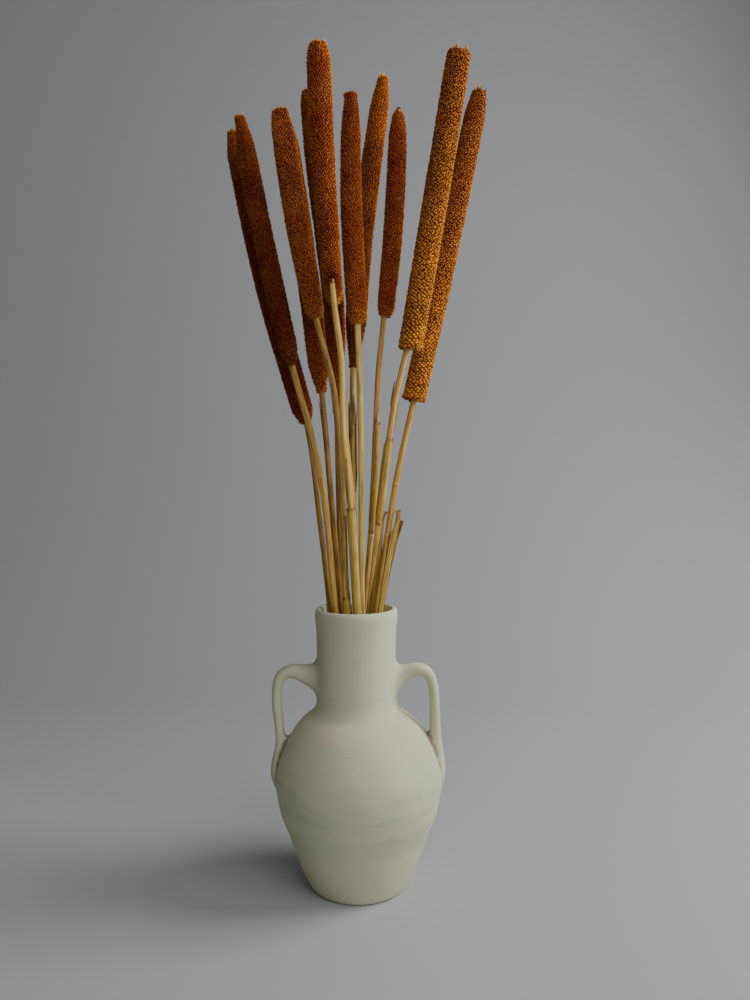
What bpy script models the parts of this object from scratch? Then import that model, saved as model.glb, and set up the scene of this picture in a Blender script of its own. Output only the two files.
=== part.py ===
"""Dried seed spikes on straw stalks, standing in a two-handled clay vase.

Metres, +Z up. The origin is the centre of the vase's foot, on the surface that the vase stands on.
The two handles lie along X, and -Y is the front. Points in the tables below are in millimetres.
"""
import math

import bmesh
import bpy
from mathutils import Vector

MM = 0.001
GAP = 0.0003
MERGE_DISTANCE = 0.00001
# How round each kind of tube is, as the curve's bevel resolution.
STALK_ROUNDNESS = 2
HANDLE_ROUNDNESS = 4
HEAD_ROUNDNESS = 4

# The vase. Each outline point is a radius and a height in millimetres, from the lip down.
VASE_STEPS = 36
VASE_SHARP_ANGLE = math.radians(50)
OUTER_OUTLINE = [
    (30.7, 226.0), (32.5, 225.2), (33.7, 222.6), (33.8, 218.4), (33.0, 211.0), (32.3, 198.0),
    (32.5, 154.0), (33.6, 145.5), (37.0, 140.0), (43.0, 135.8), (49.5, 129.8),
    (56.5, 120.0), (62.6, 108.5), (66.3, 98.0), (67.5, 87.0), (66.7, 75.0), (63.6, 60.0),
    (57.2, 43.5), (49.5, 21.5), (40.2, 1.6), (38.3, 0.0),
]
INNER_OUTLINE = [
    (0.0, 7.5), (27.0, 8.0), (36.5, 14.0), (44.2, 27.0), (52.0, 45.0), (58.0, 62.0), (60.8, 76.0),
    (61.6, 87.0), (60.4, 96.5), (56.6, 106.0), (50.6, 116.0), (44.0, 124.6), (37.5, 130.6),
    (30.8, 136.0), (27.7, 145.0), (27.4, 198.0), (27.7, 215.0), (28.4, 222.6),
    (29.2, 225.4),
]
NECK_LEAN = -2.2
LEAN_START = 110.0
LEAN_END = 165.0

# The handles. Each point is an x and a height, then half the strap's thickness and half its width there.
LEFT_HANDLE = [
    (-31.4, 167.3, 13.2, 9.5), (-34.6, 168.0, 12.8, 9.2), (-40.5, 169.5, 10.4, 8.4), (-46.0, 171.2, 8.2, 7.8),
    (-52.5, 172.9, 6.4, 7.4), (-59.0, 172.0, 5.1, 7.0), (-64.0, 167.5, 4.8, 6.8), (-66.2, 159.0, 4.5, 6.6),
    (-66.6, 147.0, 4.5, 6.6), (-64.5, 125.5, 4.0, 7.2), (-64.0, 116.0, 3.9, 8.0),
    (-65.2, 107.5, 3.9, 9.5), (-67.3, 99.0, 3.9, 11.0), (-68.4, 91.0, 3.4, 11.5), (-68.0, 84.0, 2.4, 9.5),
    (-66.6, 78.0, 1.2, 6.0), (-65.4, 75.0, 0.6, 3.0),
]
RIGHT_HANDLE = [
    (27.4, 167.3, 12.8, 9.5), (30.4, 168.3, 12.0, 9.0), (34.6, 170.5, 8.8, 8.2), (40.8, 173.4, 6.4, 7.6),
    (47.2, 174.8, 5.4, 7.2), (53.2, 173.5, 5.0, 6.9), (57.4, 169.0, 4.7, 6.7), (60.2, 160.0, 4.5, 6.6),
    (61.3, 147.5, 4.6, 6.6), (61.9, 125.0, 4.7, 7.2), (62.8, 116.5, 4.6, 8.0),
    (64.6, 108.5, 4.2, 9.5), (66.2, 100.5, 3.8, 11.0), (67.2, 92.5, 3.2, 11.5), (67.3, 85.0, 2.2, 9.5),
    (66.4, 78.0, 1.2, 6.0), (65.2, 75.0, 0.6, 3.0),
]

# The stems, left to right by their tips. A stem's stalk points run from its cut end inside the vase, over
# the mouth (height 224.5) to its top, and its head points from the middle of the head's base to its tip. A
# head has three radii, at its base, middle and tip, before its ends are shaped: each end has a share of
# the radius that it starts from, the length over which it fills out, and how blunt it is.
STEMS = {
    "01": {
        "stalk_radius": 2.5, "head_radii": (9.4, 10.5, 8.4), "base": (0.45, 14, 2.0), "crown": (0.45, 26, 1.3),
        "stalk": [(-1, -19, 9.5), (-24, 6, 224.5), (-32, 13.5, 290.5), (-44, 23, 374.5)],
        "head": [(-44, 23, 374.5), (-77.1, 32.5, 488), (-108.7, 44, 624.5)],
    },
    "02": {
        "stalk_radius": 2.7, "head_radii": (8.0, 8.9, 7.6), "base": (0.40, 20, 2.0), "crown": (0.50, 30, 1.3),
        "stalk": [(6, -16.5, 9.5), (-18.5, -9.5, 224.5), (-27.5, -5.5, 311.5), (-37.5, -3.5, 362.5),
                  (-53, -1, 418.5)],
        "head": [(-53, -1, 418.5), (-75, -2.5, 517.5), (-93.8, -4, 616.5)],
    },
    "03": {
        "stalk_radius": 2.6, "head_radii": (7.8, 10.0, 8.6), "base": (0.50, 8, 2.0), "crown": (0.66, 20, 1.6),
        "stalk": [(8, -5.5, 9.5), (-9, -14, 224.5), (-12.5, -17, 312), (-19, -20, 397.5),
                  (-32.5, -22, 452.5)],
        "head": [(-32.5, -22, 452.5), (-45.2, -28.5, 518.5), (-58.5, -38, 606.5)],
    },
    "04": {
        "stalk_radius": 2.6, "head_radii": (8.8, 9.4, 8.4), "base": (0.45, 24, 1.4), "crown": (0.45, 24, 1.3),
        "stalk": [(2, 7, 9.5), (-15, 2.5, 224.5), (-21.5, 1, 303.5), (-29.6, -0.5, 397.5)],
        "head": [(-29.6, -0.5, 397.5), (-41.5, 3, 495.5), (-53.6, 6, 580), (-60.2, 8, 620)],
    },
    "05": {
        "stalk_radius": 2.5, "head_radii": (8.8, 10.0, 8.6), "base": (0.36, 60, 1.15), "crown": (0.60, 16, 1.8),
        "stalk": [(-15.5, -12, 9.5), (-14.5, 16.5, 224.5), (-17, 25.5, 294), (-19.5, 36, 384.5)],
        "head": [(-19.5, 36, 384.5), (-22.5, 41.5, 480), (-37.8, 48.5, 599.5), (-43.8, 52, 661.5)],
    },
    "06": {
        "stalk_radius": 2.7, "head_radii": (7.6, 9.5, 9.3), "base": (0.50, 9, 2.0), "crown": (0.50, 24, 3.8),
        "stalk": [(11.5, 2, 9.5), (-1, -17.5, 224.5), (-6.5, -25.5, 315.5), (-11.5, -30.5, 370),
                  (-12.5, -35, 418), (-17.5, -39, 460)],
        "head": [(-17.5, -39, 460), (-24.4, -48.5, 551.5), (-28.1, -58, 644.5)],
    },
    "07": {
        "stalk_radius": 2.6, "head_radii": (8.6, 9.1, 7.8), "base": (0.45, 9, 2.0), "crown": (0.66, 36, 1.3),
        "stalk": [(9.5, 12.5, 9.5), (2.5, -2.5, 224.5), (2, -12, 359), (-0.5, -18, 448.5)],
        "head": [(-0.5, -18, 448.5), (-5.3, -17, 540), (-5.6, -16, 628.5)],
    },
    "08": {
        "stalk_radius": 2.6, "head_radii": (9.0, 9.7, 8.3), "base": (0.38, 40, 1.3), "crown": (0.42, 34, 1.15),
        "stalk": [(1.5, -4.5, 9.5), (-2.5, 9, 224.5), (-4.5, 15, 320), (-5, 21.5, 420)],
        "head": [(-5, 21.5, 420), (2.2, 32.5, 527), (20.8, 48, 672.5)],
    },
    "09": {
        "stalk_radius": 2.5, "head_radii": (7.5, 8.7, 7.6), "base": (0.50, 8, 2.0), "crown": (0.38, 28, 1.1),
        "stalk": [(-9.5, 12.5, 9.5), (5, 10.5, 224.5), (12, 9, 319.5), (15.5, 8, 410), (20.3, 7.5, 459)],
        "head": [(21.2, 7.5, 459), (28.5, 11.5, 541.5), (32.3, 16, 629.5)],
    },
    "10": {
        "stalk_radius": 2.6, "head_radii": (10.2, 10.4, 9.9), "base": (0.78, 4, 2.0), "crown": (0.80, 12, 1.5),
        "stalk": [(-16, 0.5, 9.5), (8.5, -7.5, 224.5), (18, -12, 312), (28, -15.5, 386.5),
                  (37.6, -17, 429.5)],
        "head": [(40.2, -17.5, 429.5), (57.2, -25, 530), (77, -34, 654)],
    },
    "11": {
        "stalk_radius": 2.7, "head_radii": (10.2, 10.1, 9.0), "base": (0.75, 4, 2.0), "crown": (0.52, 30, 1.5),
        "stalk": [(-14, -24, 10.5), (14.5, -13.5, 224.5), (29.5, -6, 324.5), (44, -1, 391.5)],
        "head": [(44, -1, 391.5), (70.9, 5.5, 512.5), (98.4, 12.5, 645)],
    },
}
STALK_POINTS = 11
# How thick a stalk is at its cut end and under its head, as shares of its radius.
STALK_TAPER = (1.06, 0.92)
# How far in millimetres a stalk stops below its head, which may stand at a small angle to it.
STALK_TOP_GAP = 0.55
BISECTIONS = 40
HEAD_RINGS = 12
# The leaf sheaths still on some stalks. Each is a split tube between two heights on its stem; it opens
# towards an angle seen from above, and its radius grows towards its torn top by the share given.
SHEATH_CLEARANCE = 0.55
SHEATH_THICKNESS = 0.5
SHEATHS = {
    "03": {"bottom": 204, "top": 237, "opens_towards": 70, "wrap": 250, "flare": 0.10},
    "06": {"bottom": 204, "top": 307, "opens_towards": 60, "wrap": 320, "flare": 0.04},
    "08": {"bottom": 318, "top": 394, "opens_towards": -70, "wrap": 300, "flare": 0.22},
    "09": {"bottom": 284, "top": 377, "opens_towards": 170, "wrap": 270, "flare": 0.06},
    "10": {"bottom": 292, "top": 362, "opens_towards": 150, "wrap": 280, "flare": 0.05},
    "11": {"bottom": 204, "top": 298, "opens_towards": -100, "wrap": 290, "flare": 0.48},
}
SHEATH_ARC_STEPS = 8
SHEATH_RINGS = 5

# Each material's colour and roughness.
CLAY = ((0.47, 0.46, 0.37), 0.9)
STRAW = ((0.55, 0.38, 0.16), 0.6)
DRY_LEAF = ((0.50, 0.35, 0.17), 0.7)
SEED = ((0.36, 0.13, 0.02), 0.8)


def remove_scene_objects():
    for thing in list(bpy.data.objects):
        bpy.data.objects.remove(thing, do_unlink=True)


def new_collection(name):
    collection = bpy.data.collections.new(name)
    bpy.context.scene.collection.children.link(collection)
    return collection


def plain_material(name, look):
    colour, roughness = look
    material = bpy.data.materials.new(name)
    material.use_nodes = True
    shader = material.node_tree.nodes["Principled BSDF"]
    shader.inputs["Base Color"].default_value = (*colour, 1.0)
    shader.inputs["Roughness"].default_value = roughness
    shader.inputs["Metallic"].default_value = 0.0
    return material


def smooth_step(value, low, high):
    share = min(max((value - low) / (high - low), 0.0), 1.0)
    return share * share * (3.0 - 2.0 * share)


def shaped_end(distance, end):
    """The share of a head's radius at a distance from one of its ends."""
    width, taper, bluntness = end
    left = 1.0 - min(distance / taper, 1.0)
    return width + (1.0 - width) * (1.0 - left**bluntness)


class Route:
    """A smooth line through points, read by its length in millimetres."""

    def __init__(self, points):
        self.points = [Vector(point) for point in points]
        self.knots = [0.0]
        for near, far in zip(self.points, self.points[1:]):
            self.knots.append(self.knots[-1] + (far - near).length)
        self.slopes = [self.slope_at(index) for index in range(len(points))]

    def slope_at(self, index):
        low = max(index - 1, 0)
        high = min(index + 1, len(self.points) - 1)
        return (self.points[high] - self.points[low]) / (self.knots[high] - self.knots[low])

    def at(self, length):
        """The Hermite curve's point at a length along the chords."""
        index = 0
        while index < len(self.knots) - 2 and length > self.knots[index + 1]:
            index += 1
        span = self.knots[index + 1] - self.knots[index]
        t = (length - self.knots[index]) / span
        start, end = self.points[index], self.points[index + 1]
        return (
            start * (2 * t**3 - 3 * t**2 + 1)
            + self.slopes[index] * span * (t**3 - 2 * t**2 + t)
            + end * (3 * t**2 - 2 * t**3)
            + self.slopes[index + 1] * span * (t**3 - t**2)
        )

    def length_at_height(self, height):
        """Bisect for the length at which a rising route reaches a height."""
        low, high = 0.0, self.knots[-1]
        for _ in range(BISECTIONS):
            middle = (low + high) / 2
            if self.at(middle).z < height:
                low = middle
            else:
                high = middle
        return low


def stalk_route(stem):
    """The stalk's line, led on towards the head so that it keeps its curve."""
    return Route(stem["stalk"] + stem["head"][1:])


def tube(name, points, radii, resolution, collection):
    """A capped tube through points in millimetres, with its own radius at each."""
    curve = bpy.data.curves.new(name, "CURVE")
    curve.dimensions = "3D"
    curve.bevel_depth = MM
    curve.bevel_resolution = resolution
    curve.use_fill_caps = True
    spline = curve.splines.new("POLY")
    spline.points.add(len(points) - 1)
    for knot, point, radius in zip(spline.points, points, radii):
        knot.co = (*(Vector(point) * MM), 1.0)
        knot.radius = radius
    thing = bpy.data.objects.new(name, curve)
    collection.objects.link(thing)
    return thing


def evaluated_mesh(thing):
    """The mesh that an object's modifiers give, as new mesh data."""
    bpy.context.view_layer.update()
    graph = bpy.context.evaluated_depsgraph_get()
    return bpy.data.meshes.new_from_object(thing.evaluated_get(graph))


def mesh_object(name, mesh, collection):
    thing = bpy.data.objects.new(name, mesh)
    collection.objects.link(thing)
    return thing


def turned_body(collection):
    """The pot without its handles, turned about Z and then leaning a little at the neck."""
    outline = INNER_OUTLINE + OUTER_OUTLINE + [(0.0, 0.0)]
    profile = bpy.data.meshes.new("vase_profile")
    profile.from_pydata(
        [(radius * MM, 0.0, height * MM) for radius, height in outline],
        [(index, index + 1) for index in range(len(outline) - 1)],
        [],
    )
    spun = mesh_object("vase_spun", profile, collection)
    screw = spun.modifiers.new("Turned", "SCREW")
    screw.axis = "Z"
    screw.steps = VASE_STEPS
    screw.render_steps = VASE_STEPS
    screw.use_merge_vertices = True
    screw.merge_threshold = MERGE_DISTANCE
    mesh = evaluated_mesh(spun)
    bpy.data.objects.remove(spun, do_unlink=True)
    for vertex in mesh.vertices:
        height = vertex.co.z / MM
        vertex.co.x += NECK_LEAN * MM * smooth_step(height, LEAN_START, LEAN_END)
    return mesh_object("vase", mesh, collection)


def handle(name, outline, collection):
    """A strap handle: a tube as thick as its outline says, with each of its rings stretched to its width."""
    points = [(x, 0.0, z) for x, z, half_thickness, half_width in outline]
    radii = [half_thickness for x, z, half_thickness, half_width in outline]
    strap = tube(name, points, radii, HANDLE_ROUNDNESS, collection)
    strap.data.use_fill_caps = False
    mesh = evaluated_mesh(strap)
    bpy.data.objects.remove(strap, do_unlink=True)
    ring_size = len(mesh.vertices) // len(outline)
    for vertex in mesh.vertices:
        x, z, half_thickness, half_width = outline[vertex.index // ring_size]
        vertex.co.y *= half_width / half_thickness
    form = bmesh.new()
    form.from_mesh(mesh)
    bmesh.ops.holes_fill(form, edges=form.edges)
    bmesh.ops.recalc_face_normals(form, faces=form.faces)
    form.to_mesh(mesh)
    form.free()
    thing = mesh_object(name, mesh, collection)
    thing.hide_render = True
    thing.display_type = "WIRE"
    return thing


def build_vase(parts, cutters, material):
    body = turned_body(parts)
    for name, outline in (("left_handle", LEFT_HANDLE), ("right_handle", RIGHT_HANDLE)):
        union = body.modifiers.new(name, "BOOLEAN")
        union.operation = "UNION"
        union.solver = "EXACT"
        union.object = handle(name, outline, cutters)
    body.data.materials.append(material)
    body.data.shade_smooth()
    body.data.set_sharp_from_angle(angle=VASE_SHARP_ANGLE)
    return body


def build_stalk(number, stem, parts, material):
    """The bare straw, from its cut end to just under its head."""
    route = stalk_route(stem)
    end = route.knots[len(stem["stalk"]) - 1] - STALK_TOP_GAP
    points = []
    radii = []
    for index in range(STALK_POINTS):
        share = index / (STALK_POINTS - 1)
        points.append(route.at(end * share))
        taper = STALK_TAPER[0] + (STALK_TAPER[1] - STALK_TAPER[0]) * share
        radii.append(stem["stalk_radius"] * taper)
    stalk = tube("stalk_" + number, points, radii, STALK_ROUNDNESS, parts)
    stalk.data.materials.append(material)
    return stalk


def head_radius(stem, share):
    """A head's plain radius: a parabola through its three radii."""
    low, middle, top = stem["head_radii"]
    rise = top - low
    bulge = 4.0 * middle - 2.0 * (low + top)
    return low + rise * share + bulge * share * (1.0 - share)


def build_head(number, stem, parts, material):
    """A seed head: the form that its grains fill, with a tapered base and a blunt crown."""
    route = Route(stem["head"])
    length = route.knots[-1]
    points = []
    radii = []
    for index in range(HEAD_RINGS):
        # Rings crowd towards both ends, where the form turns in.
        share = 0.5 - 0.5 * math.cos(math.pi * index / (HEAD_RINGS - 1))
        along = length * share
        points.append(route.at(along))
        ends = shaped_end(along, stem["base"]) * shaped_end(length - along, stem["crown"])
        radii.append(head_radius(stem, share) * ends)
    head = tube("head_" + number, points, radii, HEAD_ROUNDNESS, parts)
    head.data.materials.append(material)
    return head


def build_sheath(number, stem, sheath, parts, material):
    """A split leaf sheath: a grid wrapped round its stalk, thickened outwards."""
    route = stalk_route(stem)
    low = route.length_at_height(sheath["bottom"])
    high = route.length_at_height(sheath["top"])
    radius = stem["stalk_radius"] + SHEATH_CLEARANCE
    form = bmesh.new()
    bmesh.ops.create_grid(form, x_segments=SHEATH_ARC_STEPS, y_segments=SHEATH_RINGS, size=0.5)
    for vertex in form.verts:
        around = math.radians(sheath["opens_towards"] + 180 + vertex.co.x * sheath["wrap"])
        share = vertex.co.y + 0.5
        centre = route.at(low + (high - low) * share)
        reach = radius * (1.0 + sheath["flare"] * share * share)
        side = Vector((math.cos(around), math.sin(around), 0.0))
        vertex.co = (centre + side * reach) * MM
    mesh = bpy.data.meshes.new("sheath_" + number)
    form.to_mesh(mesh)
    form.free()
    leaf = mesh_object("sheath_" + number, mesh, parts)
    shell = leaf.modifiers.new("Leaf", "SOLIDIFY")
    shell.thickness = SHEATH_THICKNESS * MM
    shell.offset = 1.0
    leaf.data.materials.append(material)
    leaf.data.shade_smooth()
    return leaf


def main():
    remove_scene_objects()
    parts = new_collection("stems_in_vase")
    cutters = new_collection("cutters")
    build_vase(parts, cutters, plain_material("clay", CLAY))
    straw = plain_material("straw", STRAW)
    leaf = plain_material("dry_leaf", DRY_LEAF)
    seed = plain_material("seed", SEED)
    for number, stem in STEMS.items():
        build_stalk(number, stem, parts, straw)
        build_head(number, stem, parts, seed)
        if number in SHEATHS:
            build_sheath(number, stem, SHEATHS[number], parts, leaf)


main()
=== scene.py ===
"""Dried seed spikes on straw stalks, standing in a two-handled clay vase.

Metres in the scene, +Z up and -Y to the front. The tables are in millimetres, and angles round a stem are
degrees seen from above: 0 to the right, 90 to the back.
"""

import math
from collections import namedtuple

import bpy
import numpy as np
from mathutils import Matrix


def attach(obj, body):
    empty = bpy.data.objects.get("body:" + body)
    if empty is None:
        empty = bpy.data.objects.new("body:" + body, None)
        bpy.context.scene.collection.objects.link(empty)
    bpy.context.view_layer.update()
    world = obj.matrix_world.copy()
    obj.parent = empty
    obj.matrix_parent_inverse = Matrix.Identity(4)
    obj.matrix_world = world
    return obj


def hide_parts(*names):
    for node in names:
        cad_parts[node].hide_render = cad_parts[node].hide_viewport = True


MM = 0.001
BODY = "root"
GOLDEN_ANGLE = math.pi * (3.0 - math.sqrt(5.0))

# The stems, left to right by their tips: stalk points from the cut end inside the vase, over the mouth to the
# stalk's top, and head points from the middle of the head's base to its tip. Each end of a head has a share
# of the radius that it starts from, the length over which it fills out, and how blunt it is. The head's radii
# are at its base, its middle and its tip.
Stem = namedtuple("Stem", "stalk_radius head_radii base crown stalk head")
STEMS = {
    "01": Stem(
        2.5, (9.4, 10.5, 8.4), (0.45, 14, 2.0), (0.45, 26, 1.3),
        [(-1, -19, 9.5), (-24, 6, 224.5), (-32, 13.5, 290.5), (-44, 23, 374.5)],
        [(-44, 23, 374.5), (-77.1, 32.5, 488), (-108.7, 44, 624.5)],
    ),
    "02": Stem(
        2.7, (8.0, 8.9, 7.6), (0.40, 20, 2.0), (0.50, 30, 1.3),
        [(6, -16.5, 9.5), (-18.5, -9.5, 224.5), (-27.5, -5.5, 311.5), (-37.5, -3.5, 362.5),
         (-53, -1, 418.5)],
        [(-53, -1, 418.5), (-75, -2.5, 517.5), (-93.8, -4, 616.5)],
    ),
    "03": Stem(
        2.6, (7.8, 10.0, 8.6), (0.50, 8, 2.0), (0.66, 20, 1.6),
        [(8, -5.5, 9.5), (-9, -14, 224.5), (-12.5, -17, 312), (-19, -20, 397.5),
         (-32.5, -22, 452.5)],
        [(-32.5, -22, 452.5), (-45.2, -28.5, 518.5), (-58.5, -38, 606.5)],
    ),
    "04": Stem(
        2.6, (8.8, 9.4, 8.4), (0.45, 24, 1.4), (0.45, 24, 1.3),
        [(2, 7, 9.5), (-15, 2.5, 224.5), (-21.5, 1, 303.5), (-29.6, -0.5, 397.5)],
        [(-29.6, -0.5, 397.5), (-41.5, 3, 495.5), (-53.6, 6, 580), (-60.2, 8, 620)],
    ),
    "05": Stem(
        2.5, (8.8, 10.0, 8.6), (0.36, 60, 1.15), (0.60, 16, 1.8),
        [(-15.5, -12, 9.5), (-14.5, 16.5, 224.5), (-17, 25.5, 294), (-19.5, 36, 384.5)],
        [(-19.5, 36, 384.5), (-22.5, 41.5, 480), (-37.8, 48.5, 599.5), (-43.8, 52, 661.5)],
    ),
    "06": Stem(
        2.7, (7.6, 9.5, 9.3), (0.50, 9, 2.0), (0.50, 24, 3.8),
        [(11.5, 2, 9.5), (-1, -17.5, 224.5), (-6.5, -25.5, 315.5), (-11.5, -30.5, 370),
         (-12.5, -35, 418), (-17.5, -39, 460)],
        [(-17.5, -39, 460), (-24.4, -48.5, 551.5), (-28.1, -58, 644.5)],
    ),
    "07": Stem(
        2.6, (8.6, 9.1, 7.8), (0.45, 9, 2.0), (0.66, 36, 1.3),
        [(9.5, 12.5, 9.5), (2.5, -2.5, 224.5), (2, -12, 359), (-0.5, -18, 448.5)],
        [(-0.5, -18, 448.5), (-5.3, -17, 540), (-5.6, -16, 628.5)],
    ),
    "08": Stem(
        2.6, (9.0, 9.7, 8.3), (0.38, 40, 1.3), (0.50, 34, 1.4),
        [(1.5, -4.5, 9.5), (-2.5, 9, 224.5), (-4.5, 15, 320), (-5, 21.5, 420)],
        [(-5, 21.5, 420), (2.2, 32.5, 527), (20.8, 48, 672.5)],
    ),
    "09": Stem(
        2.5, (7.5, 8.7, 7.6), (0.50, 8, 2.0), (0.50, 26, 1.7),
        [(-9.5, 12.5, 9.5), (5, 10.5, 224.5), (12, 9, 319.5), (15.5, 8, 410), (20.3, 7.5, 459)],
        [(21.2, 7.5, 459), (28.5, 11.5, 541.5), (32.3, 16, 629.5)],
    ),
    "10": Stem(
        2.6, (10.2, 10.4, 9.9), (0.78, 4, 2.0), (0.80, 12, 1.5),
        [(-16, 0.5, 9.5), (8.5, -7.5, 224.5), (18, -12, 312), (28, -15.5, 386.5),
         (37.6, -17, 429.5)],
        [(40.2, -17.5, 429.5), (57.2, -25, 530), (77, -34, 654)],
    ),
    "11": Stem(
        2.7, (10.2, 10.1, 9.0), (0.75, 4, 2.0), (0.60, 28, 1.55),
        [(-14, -24, 10.5), (14.5, -13.5, 224.5), (29.5, -6, 324.5), (44, -1, 391.5)],
        [(44, -1, 391.5), (70.9, 5.5, 512.5), (98.4, 12.5, 645)],
    ),
}
STALK_TAPER = (1.06, 0.92)

# Grains: the surface that each takes, its length, its half width, how far it leans up the stem, its sides,
# how far it strays from its place, how light the inside of the head is, and how far loose grains hang. Each
# ring has a share of the grain's length, a share of its half width, and how near in look it is to the tip:
# the dark low end is painted shade deep between the grains, and the pale tip is partly the grain's own colour
# and partly a painted highlight.
BEAD = {
    "area": 3.7, "length": 2.4, "width": 1.24, "lean": 0.22, "sides": 6,
    "jitter": 0.17, "inside": 0.15, "hang": 2.4,
    "rings": ((0.22, 1.0, 0.19), (0.70, 0.74, 0.32)),
}
SPIKELET = {
    "area": 3.6, "length": 3.1, "width": 1.06, "lean": 0.75, "sides": 5,
    "jitter": 0.12, "inside": 0.05, "hang": 1.1,
    "rings": ((0.22, 1.0, 0.0), (0.68, 0.60, 0.22)),
}
# How each head looks: how golden it is at its base and under its tip, against rust, how light it is there,
# how pale its grains' tips are (partly their own colour, partly a painted highlight), how much bigger its
# lowest grains are, and how far its body ends below its tip. Its teeth stand up out of the crown: an offset
# across, a depth below the tip, half a width and how light they are.
Look = namedtuple("Look", "grain gold light pale swell drop teeth")
HEAD_LOOKS = {
    "01": Look(SPIKELET, (0.05, 0.15), (0.85, 0.85), 0.74, 0.0,
               3.0, ((0.2, 0.0, 0.6, 0.6), (-3.3, 3.2, 1.1, 0.9), (2.2, 2.4, 0.8, 1.0))),
    "02": Look(SPIKELET, (0.05, 0.35), (0.60, 0.90), 0.72, 0.0,
               2.6, ((-1.9, 0.9, 0.8, 1.5), (2.3, 0.0, 0.8, 1.5), (0.2, 1.5, 0.8, 1.6),
                     (-3.2, 3.4, 0.6, 1.3))),
    "03": Look(SPIKELET, (0.30, 0.10), (1.15, 1.12), 0.92, 0.0,
               2.2, ((1.8, 0.0, 1.1, 1.0), (-1.5, 0.9, 1.1, 1.1), (4.7, 1.2, 1.0, 0.8),
                     (-4.8, 1.6, 1.2, 1.0))),
    "04": Look(SPIKELET, (0.35, 0.05), (1.00, 0.72), 0.74, 0.0,
               2.2, ((0.0, 0.0, 1.1, 0.8), (2.6, 1.0, 0.9, 0.7), (-2.6, 1.4, 1.0, 0.8))),
    "05": Look(SPIKELET, (0.30, 0.05), (1.05, 0.75), 0.74, 0.0,
               1.8, ((0.2, 0.0, 1.0, 0.8), (-2.4, 1.1, 1.0, 0.8), (3.0, 0.8, 1.0, 0.8))),
    "06": Look(SPIKELET, (0.22, 0.05), (0.95, 1.12), 0.86, 0.0,
               1.8, ((-3.4, 0.4, 0.9, 1.5), (-0.6, 0.8, 0.9, 1.2), (2.2, 1.2, 0.9, 1.4),
                     (4.6, 0.0, 0.8, 1.7), (-5.4, 2.0, 0.9, 1.0), (6.2, 1.8, 0.9, 1.6))),
    "07": Look(SPIKELET, (0.45, 0.05), (1.15, 0.92), 0.80, 0.0,
               2.4, ((2.1, 0.0, 0.9, 1.1), (4.2, 0.8, 0.8, 1.0), (-1.3, 0.9, 0.9, 0.8),
                     (-3.4, 1.6, 0.9, 0.6), (-4.8, 2.6, 0.8, 0.5))),
    "08": Look(SPIKELET, (0.05, 0.50), (0.72, 1.10), 0.80, 0.0,
               4.2, ((-2.9, 0.0, 0.8, 1.3), (-0.5, 0.9, 0.9, 1.4), (2.6, 3.6, 1.0, 1.2),
                     (-1.8, 1.4, 0.8, 1.3), (3.6, 4.6, 0.9, 1.1))),
    "09": Look(SPIKELET, (0.25, 0.0), (1.22, 1.05), 0.80, 0.0,
               4.2, ((3.2, 3.4, 1.1, 0.8), (-3.2, 4.4, 1.1, 0.7), (1.8, 3.0, 1.0, 0.8))),
    "10": Look(BEAD, (0.90, 0.05), (0.90, 0.86), 0.90, 1.2,
               5.4, ((-2.3, 0.0, 1.2, 1.2), (-5.2, 3.2, 1.3, 1.0), (-0.2, 3.6, 1.2, 1.1),
                     (4.9, 0.0, 1.3, 1.2), (4.1, 1.6, 1.3, 1.1), (-6.4, 4.6, 1.2, 0.9))),
    "11": Look(BEAD, (0.75, -0.20), (0.92, 0.76), 0.92, 1.0,
               4.6, ((-1.9, 0.8, 1.3, 1.2), (0.4, 0.0, 0.8, 0.9), (3.6, 3.8, 1.5, 0.9),
                     (5.0, 4.4, 1.2, 0.9), (-4.0, 4.4, 1.2, 1.1))),
}
# A head's outline, its domed crown, the core under its grains (dark partly in its own colour and partly as
# painted shade between them), how deep their tips lie under the outline and the share of them that is lost.
OUTLINE_STEP = 0.25
DOME_HEIGHT = 1.7
DOME_ROWS = 16
CORE_SIDES = 24
CORE_ROWS = 56
CORE_SUNK = 1.7
CORE_LIGHT = 0.75
GRAIN_DEPTHS = (-0.75, -0.05)
GRAINS_LOST = 0.004
# What else a head carries: small teeth on its dome, whiskers on its teeth, bristles on each square
# millimetre, and hairs and hanging grains round its foot.
TOOTH = {"sides": 5, "rings": ((0.0, 0.9, 0.1), (0.45, 1.0, 0.4), (0.80, 0.55, 0.75))}
DOME_TEETH = 14
WHISKERS = 60
BRISTLES = 0.5
BRISTLE_HALF_WIDTH = 0.22
FOOT_HAIRS = 240
FRINGE = 46
# How far up and sideways a whisker reaches, and the sides that no point passes, a little inside the frame's.
WHISKER_TOP = 672.8
WHISKER_SIDES = (-111.9, 102.3)
BOX_SIDES = (-112.2, 102.75)

# The dark knob on one crown: half its width and its length.
KNOB_HEAD = "09"
KNOB_SIZE = (2.2, 5.4)
KNOB = {"sides": 10, "rings": ((0.0, 0.7, 0.1), (0.5, 1.0, 0.15), (0.85, 0.75, 0.2))}

# One head's stalk runs up the front of its foot: how far up, how far it stands forward of the head's middle
# there, and half the width of the groove that it lies in.
BARE_HEAD = "06"
BARE_HEIGHT = 17.0
BARE_FORWARD = 5.4
BARE_WIDTH = 2.9
TUFT_HAIRS = 90

# How each stalk is coloured: brown against golden straw, and pale against both.
STALK_LOOKS = {
    "01": (0.55, 0.10), "02": (0.25, 0.10), "03": (0.45, 0.20), "04": (0.80, 0.00), "05": (0.55, 0.05),
    "06": (0.05, 0.40), "07": (0.08, 0.92), "08": (0.35, 0.35), "09": (0.15, 0.45), "10": (0.15, 0.40),
    "11": (0.30, 0.02),
}
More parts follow.
